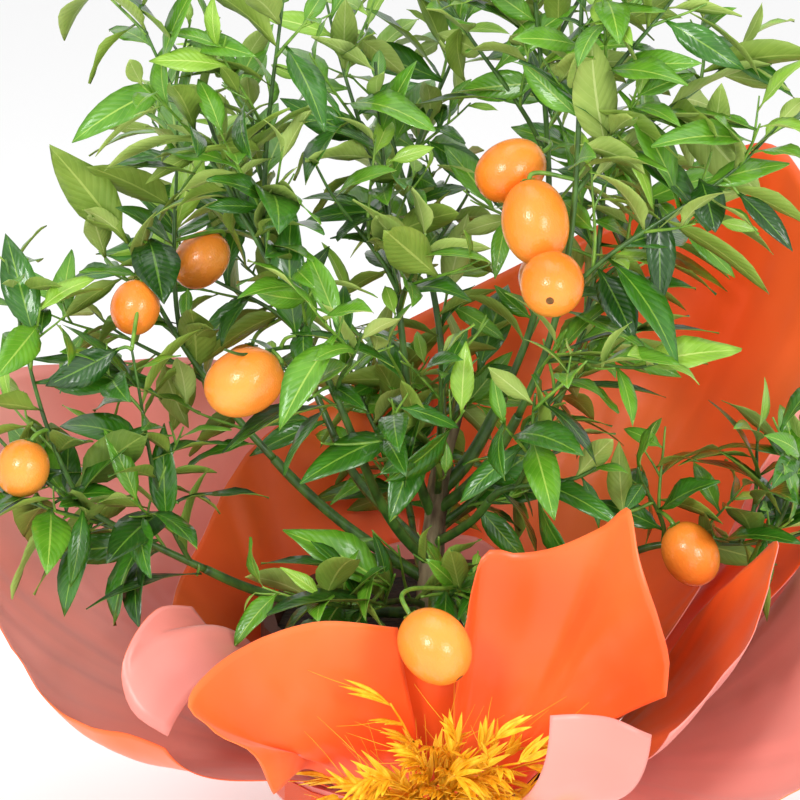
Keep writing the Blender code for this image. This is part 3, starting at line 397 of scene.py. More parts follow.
# Ribbon: a 14 mm band of woven polyester satin, dyed deep orange. It is drawn tight over the gathered
# film and holds the lapels and the oats. Its solid stays and takes a finish.
# Threads 0.35 mm apart, which is too fine to show from here and only softens the gloss.
RIB_SPACING = 0.349
WAVES_PER_SCALE = 20.0 / (2.0 * math.pi)
weave, weave_tree, weave_shader, weave_place = finish_of("woven_satin_ribbon", 0.34)
weave_shader.inputs["Base Color"].default_value = linear("#d8541c")
ribs = add_node(weave_tree, "ShaderNodeTexWave", [("Vector", weave_place, "Object")],
                Scale=per_metre(RIB_SPACING) / WAVES_PER_SCALE, bands_direction="Z")
rib_relief = add_node(weave_tree, "ShaderNodeBump", [("Height", ribs, "Fac")], Strength=0.3, Distance=0.0002)
weave_tree.links.new(rib_relief.outputs["Normal"], weave_shader.inputs["Normal"])
dress("ribbon", weave)

# Trunk: the stock of the plant, a short stem of grey-brown wood whose bark has split into ridges. It
# flares into the soil. The leader was cut back over the topmost bough, and its stub still stands.
SOIL_TOP = 0.143
GAP = 0.0003
TRUNK_FOOT = Vector((-0.003, 0.0, SOIL_TOP + GAP))
TRUNK_TOP = Vector((0.003, 0.0, 0.228))
TRUNK_BOW = 0.0012
TRUNK_FLARE = 0.0115
FLARE_HEIGHT = 0.007
TRUNK_GIRTH = 0.0064
TRUNK_NECK = 0.0052
STUB_TIP = Vector((0.013, 0.0, 0.264))
STUB_RADIUS = 0.0034
STUB_RIDGE = 0.0004
BARK_RIDGE = 0.0009
LIMB_PULL = 0.36


def limb(start, leave, end, arrive, count):
    """Points on one smooth curve that leaves and arrives along the given directions."""
    pull = (end - start).length * LIMB_PULL
    return [bezier(start, start + leave * pull, end - arrive * pull, end, i / (count - 1))
            for i in range(count)]


def trunk_point(height):
    """Middle of the trunk at this height."""
    share = (height - TRUNK_FOOT.z) / (TRUNK_TOP.z - TRUNK_FOOT.z)
    bow = math.sin(share * math.pi) * TRUNK_BOW
    return Vector((TRUNK_FOOT.x + (TRUNK_TOP.x - TRUNK_FOOT.x) * share * share, bow, height))


def trunk_radius(height):
    """Half the trunk's thickness at this height."""
    rise = height - TRUNK_FOOT.z
    share = rise / (TRUNK_TOP.z - TRUNK_FOOT.z)
    flare = (TRUNK_FLARE - TRUNK_GIRTH) * math.exp(-rise / FLARE_HEIGHT)
    return TRUNK_GIRTH + (TRUNK_NECK - TRUNK_GIRTH) * share + flare


def round_limb(points, radii, sides, ridge=0.0, seed=0.0, rings_each=6):
    """Points and faces of a closed round limb through the points, with ridges of this depth."""
    fine, sizes = [], []
    for k in range(len(points) - 1):
        for m in range(rings_each):
            t = m / rings_each
            fine.append(smooth_point(points, k, t))
            sizes.append(radii[k] + (radii[k + 1] - radii[k]) * t)
    fine.append(points[-1])
    sizes.append(radii[-1])
    verts, faces = [], []
    last = len(fine) - 1
    normal = (fine[1] - fine[0]).orthogonal().normalized()
    for i, (point, size) in enumerate(zip(fine, sizes)):
        lead = (fine[min(i + 1, last)] - fine[max(i - 1, 0)]).normalized()
        normal = (normal - lead * normal.dot(lead)).normalized()
        other = lead.cross(normal)
        for k in range(sides):
            angle = 2 * math.pi * k / sides
            out = normal * math.cos(angle) + other * math.sin(angle)
            if ridge:
                spot = Vector((math.cos(angle) * 2.6, math.sin(angle) * 2.6, i * 0.055 + seed))
                size_here = size + ridge * (0.6 - 2.2 * abs(noise.noise(spot * 1.5)))
            else:
                size_here = size
            verts.append(point + out * size_here)
    for i in range(last):
        for k in range(sides):
            a, b = i * sides + k, i * sides + (k + 1) % sides
            faces.append((a, b, b + sides, a + sides))
    faces.append(tuple(range(sides - 1, -1, -1)))
    faces.append(tuple(last * sides + k for k in range(sides)))
    return verts, faces


# Split bark: 8 mm flakes drawn out along the stem give a rough, matt, streaked grey-brown.
bark = mottled("ridged_bark", "#4a3a28", "#9a8a68", 7.692, 0.85, 0.8, stretch=(1, 1, 0.28), depth=0.0015)
rises = [0.0, 0.003, 0.008, 0.016, 0.028, 0.040, 0.052, 0.066, 0.078]
heights = [TRUNK_FOOT.z + rise for rise in rises] + [TRUNK_TOP.z]
verts, faces = round_limb([trunk_point(h) for h in heights], [trunk_radius(h) for h in heights], 40,
                          BARK_RIDGE, rings_each=8)
trunk = seat(mesh_object("trunk_bark", verts, faces, [bark]), "bark", "trunk")
stub_way = (STUB_TIP - TRUNK_TOP).normalized()
stub_line = limb(TRUNK_TOP - stub_way * 0.002, stub_way, STUB_TIP, stub_way, 5)
verts, faces = round_limb(stub_line, [STUB_RADIUS * s for s in (1.2, 1.05, 1.0, 0.97, 0.92)], 24,
                          STUB_RIDGE, 9.0)
stub = seat(mesh_object("cut_leader", verts, faces, [bark]), "bark", "cut_stub")

# Boughs: young wood under smooth green bark. They leave the trunk at their own heights, and each runs
# on into the stem of its spray, so no joint shows.

# Each bough: height of its foot on the trunk, its tip, its radius there, and its pitch at both ends
BOUGHS = {
    "bough_low_left": (0.150, (-0.115, -0.030, 0.183), 0.0030, 4, 32),
    "bough_left": (0.166, (-0.082, 0.012, 0.228), 0.0032, 30, 48),
    "bough_front": (0.176, (-0.038, -0.038, 0.246), 0.0030, 38, 66),
    "bough_centre": (0.199, (-0.012, -0.014, 0.248), 0.0028, 55, 84),
    "bough_main": (0.214, (0.034, 0.008, 0.262), 0.0038, 35, 62),
    "bough_right": (0.204, (0.040, -0.030, 0.262), 0.0032, 35, 62),
    "bough_low_right": (0.186, (0.026, -0.040, 0.222), 0.0026, 30, 50),
    "bough_far_right": (0.152, (0.095, -0.022, 0.188), 0.0028, 10, 30),
    "bough_back_left": (0.180, (-0.052, 0.062, 0.225), 0.0028, 25, 55),
    "bough_back": (0.208, (0.004, 0.052, 0.250), 0.0028, 35, 65),
    "bough_back_right": (0.192, (0.058, 0.068, 0.228), 0.0028, 20, 52),
    "bough_back_low": (0.156, (-0.012, 0.078, 0.176), 0.0024, 8, 35),
}
BOUGH_TAPER = 0.74
BOUGH_POINTS = 8
BOUGH_RIDGE = 0.00022
STEM_RADIUS = 0.0019
ARM_RADIUS = 0.0014
TWIG_RADIUS = 0.0010
TRUNK_SEAT_PITCH = 35
STEM_UPTURN = 0.45
ARM_LEAD = 0.5
ARM_UPTURN = 0.40
# Each mass: what carries it, its stem's tip, and its arms as (place along the stem, tip of the arm)
MASSES = {
    "foliage_low_left": (
        "bough_low_left",
        (-0.217, -0.060, 0.266),
        [(0.06, (-0.146, -0.060, 0.303)), (0.30, (-0.222, -0.034, 0.232)), (0.52, (-0.206, -0.050, 0.345))],
    ),
    "foliage_left": (
        "bough_left",
        (-0.153, -0.004, 0.346),
        [(0.35, (-0.176, 0.040, 0.300)), (0.55, (-0.128, 0.016, 0.400))],
    ),
    "foliage_front": (
        "bough_front",
        (-0.113, -0.030, 0.420),
        [
            (0.30, (-0.100, -0.088, 0.310)),
            (0.46, (-0.148, -0.036, 0.478)),
            (0.56, (-0.070, -0.036, 0.502)),
            (0.16, (-0.036, -0.090, 0.318)),
        ],
    ),
    "foliage_centre": (
        "bough_centre",
        (-0.030, 0.000, 0.432),
        [(0.34, (-0.008, -0.052, 0.350)), (0.55, (-0.054, 0.022, 0.458)), (0.40, (-0.058, -0.030, 0.386))],
    ),
    "foliage_main": (
        "bough_main",
        (0.044, 0.002, 0.532),
        [(0.28, (0.024, 0.004, 0.368)), (0.45, (0.000, 0.006, 0.472)), (0.60, (0.092, 0.036, 0.500))],
    ),
    "foliage_right": (
        "bough_right",
        (0.070, -0.034, 0.524),
        [
            (0.24, (0.160, -0.052, 0.410)),
            (0.44, (0.152, -0.004, 0.446)),
            (0.56, (0.122, -0.040, 0.488)),
            (0.12, (0.104, -0.074, 0.300)),
        ],
    ),
    "foliage_low_right": ("bough_low_right", (0.076, -0.066, 0.246), [(0.30, (0.046, -0.078, 0.286))]),
    "foliage_far_right": (
        "bough_far_right",
        (0.186, -0.040, 0.208),
        [(0.20, (0.098, -0.044, 0.240)), (0.60, (0.158, -0.030, 0.256)), (0.72, (0.176, -0.052, 0.248))],
    ),
    "foliage_core": ("trunk", (0.002, -0.046, 0.300), [(0.40, (-0.030, -0.064, 0.262))]),
    "foliage_core_right": ("trunk", (0.074, -0.006, 0.300), []),
    "foliage_low_front": ("trunk", (-0.056, -0.080, 0.186), []),
    "foliage_low_front_right": ("trunk", (0.010, -0.066, 0.186), []),
    "foliage_back_left": (
        "bough_back_left",
        (-0.100, 0.100, 0.418),
        [(0.30, (-0.136, 0.078, 0.322)), (0.50, (-0.148, 0.110, 0.384))],
    ),
    "foliage_back": (
        "bough_back",
        (-0.036, 0.110, 0.436),
        [(0.34, (0.022, 0.124, 0.352)), (0.55, (0.018, 0.094, 0.446))],
    ),
    "foliage_back_right": (
        "bough_back_right",
        (0.096, 0.112, 0.446),
        [(0.34, (0.150, 0.080, 0.352)), (0.50, (0.058, 0.128, 0.404))],
    ),
    "foliage_back_low": ("bough_back_low", (-0.046, 0.118, 0.252), [(0.40, (0.026, 0.116, 0.250))]),
}
# Masses that leave the trunk itself: the height where they do
TRUNK_SEATS = {
    "foliage_core": 0.212,
    "foliage_core_right": 0.194,
    "foliage_low_front": 0.152,
    "foliage_low_front_right": 0.160,
}


def along(points, share):
    """Point and direction at a share of the line's length."""
    index, t = stretch_at(points, share)
    a, b = points[index], points[index + 1]
    return a.lerp(b, t), (b - a).normalized()


def plan_mass(name, ends):
    """The mass's stem and arms, as lines of points."""
    carrier, tip, arms = MASSES[name]
    tip = Vector(tip)
    if carrier == "trunk":
        start = trunk_point(TRUNK_SEATS[name])
        way = pitched(tip - start, TRUNK_SEAT_PITCH)
    else:
        start, way = ends[carrier]
    rise = (tip - start).normalized()
    stem = limb(start, way, tip, (rise + UP * STEM_UPTURN).normalized(), 9)
    lines = [stem]
    for share, arm_tip in arms:
        root, lead = along(stem, share)
        arm_tip = Vector(arm_tip)
        reach = (arm_tip - root).normalized()
        leave = (reach + lead * ARM_LEAD).normalized()
        lines.append(limb(root, leave, arm_tip, (reach + UP * ARM_UPTURN).normalized(), 7))
    return lines


# Green bark: a thin waxy skin over 5 mm streaks gives a soft gloss, mid green.
green_bark = mottled("smooth_green_bark", "#2d4a1c", "#4f7a2c", 5.263, 0.42, 0.25, coat=0.15,
                     stretch=(1, 1, 0.4))
# The year's shoots: paler, glossier and nearly even.
young_stem = mottled("young_green_stem", "#4f7d22", "#7fa63a", 6.667, 0.38, 0.1, coat=0.2)
ends = {}
bough_verts, bough_faces = [], []
for name, (height, tip, radius, leave, arrive) in BOUGHS.items():
    start = trunk_point(height)
    tip = Vector(tip)
    points = limb(start, pitched(tip - start, leave), tip, pitched(tip - start, arrive), BOUGH_POINTS)
    radii = [radius * (1.0 - (1.0 - BOUGH_TAPER) * i / (BOUGH_POINTS - 1)) for i in range(BOUGH_POINTS)]
    ends[name] = (tip, (points[-1] - points[-2]).normalized())
    verts, faces = round_limb(points, radii, 14, BOUGH_RIDGE, height * 90)
    base = len(bough_verts)
    bough_verts += verts
    bough_faces += [tuple(base + i for i in face) for face in faces]
limbs = seat(mesh_object("green_limbs", bough_verts, bough_faces, [green_bark]), "green_bark", *BOUGHS)

# Foliage: lance-shaped citrus leaves on short stalks, set in a spiral along green twigs. Each is folded
# along its midrib and arched, waxy and dark above and matt and pale below, and the freshest are lightest;
# sprays high in the crown are given lighter leaf tones still, as painted light falling from above.
# The sprays follow the part's lines and go on from them to finer twigs.
SEED = 41
LEAF_EVERY = 0.0112
TWIG_EVERY = 0.036
SPRIG_EVERY = 0.034
LEAF_LENGTH = 0.063
LEAF_ASPECT = 0.33
LEAF_THICK = 0.00045
EDGE_HALF = 0.00004
STALK_CLEAR = 0.006
SIDE_SPREAD = (45, 82)
TIP_CLOSING = 32
TIP_SHRINK = 0.52
LEAF_ROLL = 0.70
LEAF_STATIONS = 8
LEAF_COLUMNS = (-1.0, -0.5, 0.0, 0.5, 1.0)
GOLDEN_TURN = math.radians(137.5)
LEAF_TRIES = (1.0, 0.85, 0.7)
TWIG_TRIES = 3
# The photograph shows the fruit nearly bare, so leaves stay out of the way in front of each, towards
# the side that it was taken from
OPEN_SIDE = Vector((0.0, -0.966, 0.259))
OPEN_REACH = 0.30
# The blade's pattern: tone drift in mm, then shares of the leaf's width and length
LEAF_DRIFT = 14.29
MIDRIB_HALF = 0.026
VEIN_SLANT = 0.45
VEIN_BEAT = 75.0
VEIN_CREST = 0.93
VEIN_PALENESS = 0.14
RIB_PALENESS = 0.7
# The leaves that stand out singly: their mass, root, tip and width
LONE_LEAVES = [
    ("foliage_left", (-0.152, -0.005, 0.343), (-0.185, -0.030, 0.394), 0.025),
    ("foliage_left", (-0.141, -0.010, 0.346), (-0.132, -0.042, 0.321), 0.026),
    ("foliage_right", (0.064, -0.035, 0.298), (0.133, -0.060, 0.309), 0.012),
    ("foliage_core_right", (0.052, 0.000, 0.266), (0.112, -0.020, 0.267), 0.012),
    ("foliage_core_right", (0.044, -0.020, 0.253), (0.085, -0.038, 0.258), 0.012),
    ("foliage_far_right", (0.092, -0.040, 0.212), (0.090, -0.030, 0.248), 0.014),
    ("foliage_right", (0.077, -0.045, 0.339), (0.093, -0.060, 0.308), 0.020),
    ("foliage_centre", (-0.025, 0.000, 0.405), (0.032, -0.020, 0.415), 0.012),
    ("foliage_front", (-0.095, -0.040, 0.389), (-0.055, -0.060, 0.419), 0.018),
    ("foliage_front", (-0.107, -0.035, 0.380), (-0.156, -0.050, 0.387), 0.011),
    ("foliage_low_left", (-0.129, -0.045, 0.222), (-0.082, -0.060, 0.228), 0.012),
    ("foliage_low_left", (-0.116, -0.040, 0.184), (-0.167, -0.088, 0.180), 0.011),
    ("foliage_low_front", (-0.024, -0.050, 0.180), (-0.084, -0.080, 0.200), 0.016),
    ("foliage_low_front", (-0.025, -0.066, 0.176), (-0.080, -0.108, 0.184), 0.024),
    ("foliage_low_front_right", (-0.010, -0.056, 0.176), (0.020, -0.072, 0.198), 0.015),
    ("foliage_core", (0.010, -0.040, 0.240), (-0.028, -0.055, 0.245), 0.013),
    ("foliage_right", (0.124, -0.050, 0.384), (0.130, -0.065, 0.361), 0.019),
    ("foliage_right", (0.141, -0.050, 0.378), (0.167, -0.060, 0.351), 0.012),
    ("foliage_right", (0.122, 0.000, 0.446), (0.170, -0.020, 0.417), 0.015),
    ("foliage_right", (0.105, -0.030, 0.370), (0.107, -0.036, 0.319), 0.016),
    ("foliage_front", (-0.060, -0.055, 0.278), (-0.101, -0.075, 0.255), 0.015),
    ("foliage_low_left", (-0.152, -0.062, 0.304), (-0.186, -0.070, 0.288), 0.018),
    ("foliage_front", (-0.070, -0.064, 0.312), (-0.022, -0.084, 0.299), 0.013),
]

# Each fruit: its mass, its middle, the way its stalk end points, its length and its width
FRUIT = [
    ("foliage_front", (-0.092, -0.072, 0.290), (0.80, 0.10, 0.35), 0.039, 0.032),
    ("foliage_main", (0.035, -0.030, 0.384), (0.85, 0.20, 0.45), 0.036, 0.029),
    ("foliage_right", (0.046, -0.056, 0.364), (-0.15, 0.30, 0.90), 0.041, 0.032),
    ("foliage_right", (0.053, -0.082, 0.340), (0.10, 0.95, 0.25), 0.034, 0.030),
    ("foliage_low_front_right", (-0.002, -0.141, 0.182), (-0.60, 0.45, 0.65), 0.038, 0.032),
    ("foliage_far_right", (0.124, -0.052, 0.198), (-0.50, 0.20, 0.85), 0.033, 0.027),
    ("foliage_low_left", (-0.200, -0.060, 0.244), (0.30, 0.20, 0.90), 0.028, 0.026),
    ("foliage_low_left", (-0.146, -0.036, 0.318), (0.20, 0.30, 0.90), 0.027, 0.024),
    ("foliage_left", (-0.118, 0.026, 0.328), (0.60, 0.20, 0.60), 0.032, 0.026),
    ("foliage_back_left", (-0.100, 0.095, 0.251), (0.20, 0.10, 0.90), 0.032, 0.028),
    ("foliage_back", (0.040, 0.110, 0.356), (0.10, -0.20, 0.90), 0.030, 0.027),
    ("foliage_back_right", (0.058, 0.096, 0.304), (0.20, -0.20, 0.85), 0.030, 0.027),
]


def leaf_frame(way, out):
    """Upper-face normal and sideways direction of a leaf that points this way."""
    heading = Vector((out.x, out.y, 0.0))
    if heading.length < 0.05:
        heading = Vector((0.2, -1.0, 0.0))
    side = UP.cross(heading.normalized())
    face = way.cross(side).normalized()
    return face, face.cross(way).normalized()


def leaf_side(name, dark, light, vein, rough, coat):
    """One side of a leaf: two tones that drift, pale veins that come off the midrib, a waxy gloss."""
    made, tree, shader, place = finish_of(name, rough, coat, 1.45)
    grain = add_node(tree, "ShaderNodeTexNoise", [("Vector", place, "Object")],
                     Scale=per_metre(LEAF_DRIFT), Detail=2.0)
    ramp = add_node(tree, "ShaderNodeValToRGB", [("Fac", grain, "Fac")])
    set_stops(ramp, (0.22, 0.80), (dark, light))
    blade = add_node(tree, "ShaderNodeUVMap")
    split = add_node(tree, "ShaderNodeSeparateXYZ", [("Vector", blade, "UV")])
    off_mid = add_node(tree, "ShaderNodeMath", [(0, split, "X"), (1, 0.5)], operation="SUBTRACT")
    wide = add_node(tree, "ShaderNodeMath", [(0, off_mid, 0)], operation="ABSOLUTE")
    midrib = add_node(tree, "ShaderNodeMath", [(0, wide, 0), (1, MIDRIB_HALF)], operation="LESS_THAN")
    slant = add_node(tree, "ShaderNodeMath", [(0, wide, 0), (1, -VEIN_SLANT)], operation="MULTIPLY")
    run = add_node(tree, "ShaderNodeMath", [(0, split, "Y"), (1, slant, 0)], operation="ADD")
    beat = add_node(tree, "ShaderNodeMath", [(0, run, 0), (1, VEIN_BEAT)], operation="MULTIPLY")
    wave = add_node(tree, "ShaderNodeMath", [(0, beat, 0)], operation="SINE")
    veins = add_node(tree, "ShaderNodeMath", [(0, wave, 0), (1, VEIN_CREST)], operation="GREATER_THAN")
    faint = add_node(tree, "ShaderNodeMath", [(0, veins, 0), (1, VEIN_PALENESS)], operation="MULTIPLY")
    rib = add_node(tree, "ShaderNodeMath", [(0, midrib, 0), (1, RIB_PALENESS)], operation="MULTIPLY")
    both = add_node(tree, "ShaderNodeMath", [(0, rib, 0), (1, faint, 0)], operation="MAXIMUM")
    mix = add_node(tree, "ShaderNodeMix", [("Factor", both, 0), (6, ramp, "Color"), (7, linear(vein))],
                   data_type="RGBA")
    relief = add_node(tree, "ShaderNodeBump", [("Height", wave, 0)], Strength=0.16, Distance=0.0004)
    tree.links.new(mix.outputs[2], shader.inputs["Base Color"])
    tree.links.new(relief.outputs["Normal"], shader.inputs["Normal"])
    return made


# Each age of leaf: its waxy upper side, glossy and dark, and its matt, pale underside
LEAF_AGES = [
    (leaf_side("leaf_old_upper", "#12330a", "#245614", "#6b9632", 0.30, 0.35),
     leaf_side("leaf_old_under", "#5a7828", "#738f36", "#9aac52", 0.55, 0.0)),
    (leaf_side("leaf_grown_upper", "#22520e", "#3c7c18", "#86ae3e", 0.30, 0.35),
     leaf_side("leaf_grown_under", "#6f8e30", "#8ba440", "#b0c262", 0.55, 0.0)),
    (leaf_side("leaf_fresh_upper", "#447f12", "#6ca42a", "#abc958", 0.34, 0.25),
     leaf_side("leaf_fresh_under", "#8aa54a", "#a5bb5e", "#c6d488", 0.55, 0.0)),
    (leaf_side("leaf_tip_upper", "#76a62a", "#9cc448", "#c6da78", 0.38, 0.15),
     leaf_side("leaf_tip_under", "#9cb858", "#b6ca70", "#d2de98", 0.55, 0.0)),
]
leaf_finishes = [finish for pair in LEAF_AGES for finish in pair]


class Sheaf:
    """Gathers many small bodies into one mesh, with a finish index and a UV for each face corner."""

    def __init__(self):
        self.verts, self.faces, self.marks, self.uvs = [], [], [], []

    def add(self, verts, faces, mark, uvs=None):
        """Adds one body; mark is its finish, or a list with one for each face."""
        base = len(self.verts)
        self.verts += verts
        for number, face in enumerate(faces):
            self.faces.append(tuple(base + i for i in face))
            self.marks.append(mark[number] if isinstance(mark, list) else mark)
            self.uvs += [uvs[i] for i in face] if uvs else [(0.0, 0.0)] * len(face)

    def finish(self, name, finishes):
        """Makes the object."""
        ob = mesh_object(name, self.verts, self.faces, finishes, self.marks)
        layer = ob.data.uv_layers.new(name="Blade")
        layer.data.foreach_set("uv", [value for pair in self.uvs for value in pair])
        return ob

    def add_limb(self, line, start_radius, end_radius, mark, sides=6, rings=3):
        """Adds a round limb along the line that tapers evenly."""
        last = len(line) - 1
        radii = [start_radius + (end_radius - start_radius) * i / last for i in range(len(line))]
        verts, faces = round_limb(line, radii, sides, rings_each=rings)
        self.add(verts, faces, mark)


def blade_width(t):
    """Share of the full width at this share of the length, from the stalk to the drawn-out tip."""
    if t < 0.10:
        return 0.07
    s = (t - 0.10) / 0.90
    return max(0.02, (math.sin(math.pi * s**0.80) ** 0.85) * (1.0 - 0.18 * s))


def leaf_body(root, way, face, side, length, width, arch, fold, wave, phase):
    """A thin closed leaf of two skins on one outline: points, faces, sides and UVs."""
    spine, leads = [], []
    point, lead = root.copy(), way.copy()
    step = length / LEAF_STATIONS
    for i in range(LEAF_STATIONS + 1):
        spine.append(point.copy())
        leads.append(lead.copy())
        point = point + lead * step
        lead = (lead - face * arch / LEAF_STATIONS).normalized()
    verts, uvs = [], []
    for skin in (1.0, -1.0):
        for i, (spot, lead) in enumerate(zip(spine, leads)):
            t = i / LEAF_STATIONS
            up = lead.cross(side).normalized()
            if up.dot(face) < 0:
                up = -up
            half = 0.5 * width * blade_width(t)
            for column in LEAF_COLUMNS:
                edge = abs(column)
                lift = fold * half * edge + wave * width * math.sin(t * 11.0 + phase + column) * edge**2
                body = LEAF_THICK * 0.5 * (1.0 - edge) * (1.0 - t**3) + EDGE_HALF
                verts.append(spot + side * half * column + up * (lift + skin * body))
                uvs.append((0.5 + 0.5 * column, t))
    columns = len(LEAF_COLUMNS)
    under = columns * (LEAF_STATIONS + 1)
    faces, sides = [], []
    for i in range(LEAF_STATIONS):
        for k in range(columns - 1):
            a = i * columns + k
            faces.append((a, a + 1, a + 1 + columns, a + columns))
            sides.append(0)
            faces.append((under + a, under + a + columns, under + a + 1 + columns, under + a + 1))
            sides.append(1)
        left, right = i * columns, i * columns + columns - 1
        faces.append((left, left + columns, under + left + columns, under + left))
        faces.append((right + columns, right, under + right, under + right + columns))
        sides += [1, 1]
    last = LEAF_STATIONS * columns
    for k in range(columns - 1):
        faces.append((k + 1, k, under + k, under + k + 1))
        faces.append((last + k, last + k + 1, under + last + k + 1, under + last + k))
        sides += [1, 1]
    return verts, faces, sides, uvs


def tree_of(objects):
    """One search tree over the objects' faces."""
    verts, faces = [], []
    for ob in objects:
        base = len(verts)
        verts += [v.co.copy() for v in ob.data.vertices]
        faces += [tuple(base + i for i in p.vertices) for p in ob.data.polygons]
    return BVHTree.FromPolygons(verts, faces)


lines_of = {name: plan_mass(name, ends) for name in MASSES}
samples = [(point, name) for name, lines in lines_of.items() for line in lines
           for point in (along(line, k / 40)[0] for k in range(41))]
nearest_line = KDTree(len(samples))
for index, (point, _) in enumerate(samples):
    nearest_line.insert(point, index)
nearest_line.balance()
limits = tree_of([trunk, stub, limbs, *film_objects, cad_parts["pot"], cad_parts["soil"]])
fruit_balls = [(Vector(middle), max(length, width) * 0.5) for _, middle, _, length, width in FRUIT]


def own_place(name, points):
    """Whether every point lies nearest a line of this mass."""
    return all(samples[nearest_line.find(point)[1]][1] == name for point in points)


def open_way(points):
    """Whether the line through the points crosses no limb and no film."""
    for a, b in zip(points, points[1:]):
        if limits.ray_cast(a, (b - a).normalized(), (b - a).length)[0] is not None:
            return False
    return True


def off_fruit(points, margin=0.0015):
    """Whether the points leave every fruit free, and the way to it from its open side."""
    for middle, radius in fruit_balls:
        for point in points:
            step = point - middle
            ahead = max(0.0, min(OPEN_REACH, step.dot(OPEN_SIDE)))
            if (step - OPEN_SIDE * ahead).length < radius + margin:
                return False
    return True


def inside_reach(points):
    """Whether the points stay within the part's own box."""
    return all(size_low[k] < point[k] < size_high[k] for point in points for k in range(3))


def nearest_foot(lines, point):
    """The place on the lines that is nearest to the point."""
    places = (along(line, k / 60)[0] for line in lines for k in range(61))
    return min(places, key=lambda place: (place - point).length)


def set_leaf(sheaf, root, way, face, side, length, width, age, rng, arch=None):
    """Adds one leaf of this age; its arch, fold, wave and phase are its own."""
    arch = rng.uniform(0.35, 0.95) if arch is None else arch
    verts, faces, sides, uvs = leaf_body(root, way, face, side, length, width, arch,
                                         rng.uniform(0.10, 0.42), rng.uniform(0.0, 0.09), rng.uniform(0, 6.3))
    sheaf.add(verts, faces, [2 * age + s for s in sides], uvs)


def leaves_along(name, line, sheaf, rng, age_and_light_shift, first, scale):
    """Leaves in a spiral along a line; the ones near its tip are small and fresh."""
    length = sum((b - a).length for a, b in zip(line, line[1:]))
    place = first
    turn = rng.uniform(0.0, 2 * math.pi)
    while place < length:
        share = place / length
        root, lead = along(line, share)
        level = lead.cross(UP)
        level = level.normalized() if level.length > 0.05 else Vector((1.0, 0.0, 0.0))
        other = lead.cross(level)
        for shrink in LEAF_TRIES:
            angle = turn + rng.uniform(-0.8, 0.8)
            out = level * math.cos(angle) + other * math.sin(angle)
            spread = math.radians(rng.uniform(*SIDE_SPREAD) - TIP_CLOSING * share**3)
            droop = rng.uniform(-0.05, 0.45) * (1.0 - share**4)
            size = LEAF_LENGTH * scale * shrink * rng.uniform(0.66, 1.14) * (1.0 - TIP_SHRINK * share**4)
            way = (lead * math.cos(spread) + out * math.sin(spread) - UP * droop).normalized()
            face, side = leaf_frame(way, out + lead * 0.3)
            roll = rng.gauss(0.0, LEAF_ROLL)
            face = (face * math.cos(roll) + side * math.sin(roll)).normalized()
            side = face.cross(way).normalized()
            tip = root + way * size - face * size * 0.25
            middle = root + way * size * 0.5
            width = size * LEAF_ASPECT * rng.uniform(0.82, 1.2)
            cell = [middle + side * width * 0.5, middle - side * width * 0.5, tip, middle]
            if (own_place(name, cell) and inside_reach(cell) and off_fruit(cell + [root.lerp(tip, 0.2)])
                    and open_way([root + way * STALK_CLEAR, middle, tip])
                    and open_way([cell[0], tip, cell[1], cell[0]])):
                # A leaf's tone: fresher towards the line's tip, plus the spray's painted light, which makes
                # leaves high in the crown lighter
                age = min(3, int(age_and_light_shift + 1.9 * share**2 + rng.uniform(0.0, 1.25)))
                set_leaf(sheaf, root, way, face, side, size, width, age, rng)
                break
        place += LEAF_EVERY * rng.uniform(0.75, 1.3) * (1.0 - 0.45 * share**3)
        turn += GOLDEN_TURN


def twigs_along(name, line, rng, every, low, high):
    """Side twigs off a line, each kept where there is room for it."""
    found = []
    length = sum((b - a).length for a, b in zip(line, line[1:]))
    place = every * rng.uniform(0.5, 0.9)
    turn = rng.uniform(0.0, 2 * math.pi)
    while place < length * 0.9:
        root, lead = along(line, place / length)
        level = lead.cross(UP).normalized()
        other = lead.cross(level)
        for _ in range(TWIG_TRIES):
            angle = turn + rng.uniform(-0.6, 0.6)
            out = level * math.cos(angle) + other * math.sin(angle)
            size = rng.uniform(low, high) * (1.0 - 0.35 * place / length)
            way = (lead * 0.75 + out * 0.75 + UP * 0.2).normalized()
            tip = root + way * size + UP * size * 0.12
            twig = limb(root, (way + lead * 0.3).normalized(), tip, (way + UP * 0.3).normalized(), 5)
            if (own_place(name, twig[2:]) and inside_reach(twig) and off_fruit(twig[1:])
                    and open_way(twig[1:])):
                found.append(twig)
                break
        place += every * rng.uniform(0.75, 1.25)
        turn += GOLDEN_TURN
    return found


# The height below which a spray's leaves get no painted light, and the rise over which that painted light
# grows to its full
UNLIT_BELOW = 0.24
LIGHTENING_RISE = 0.22


def painted_light_share(line):
    """How much painted light a spray's leaves get: sprays high in the crown take lighter leaf tones, painted
    as the light that falls on the top of the crown.
    """
    height = along(line, 0.7)[0].z
    return max(0.0, min(1.2, (height - UNLIT_BELOW) / LIGHTENING_RISE))


# The masses that fill the foot of the plant, where the twigs stand three times as thick
LOW_MASSES = {
    "foliage_low_front", "foliage_low_front_right", "foliage_core", "foliage_core_right", "foliage_back_low",
}
LOW_CROWDING = 0.3
# Lengths of twigs and of the sprigs on them
TWIG_LENGTHS = (0.030, 0.060)
SPRIG_LENGTHS = (0.014, 0.028)
# Leaves on the stem and arms, on the twigs and on the sprigs: age, how much lighter their tone is painted on
# sprays high in the crown as painted light, how far from the line's foot they start, and their size
LEAF_RULES = ((0.35, 0.7, 0.010, 1.0), (0.55, 0.8, 0.007, 0.92), (1.0, 0.9, 0.005, 0.62))
groups = {"left": Sheaf(), "middle": Sheaf(), "right": Sheaf(), "back": Sheaf()}
green_wood = Sheaf()
group_of = {}
for name in MASSES:
    if "back" in name:
        group_of[name] = "back"
    elif "left" in name or name == "foliage_front":
        group_of[name] = "left"
    else:
        group_of[name] = "right" if "right" in name or name == "foliage_main" else "middle"

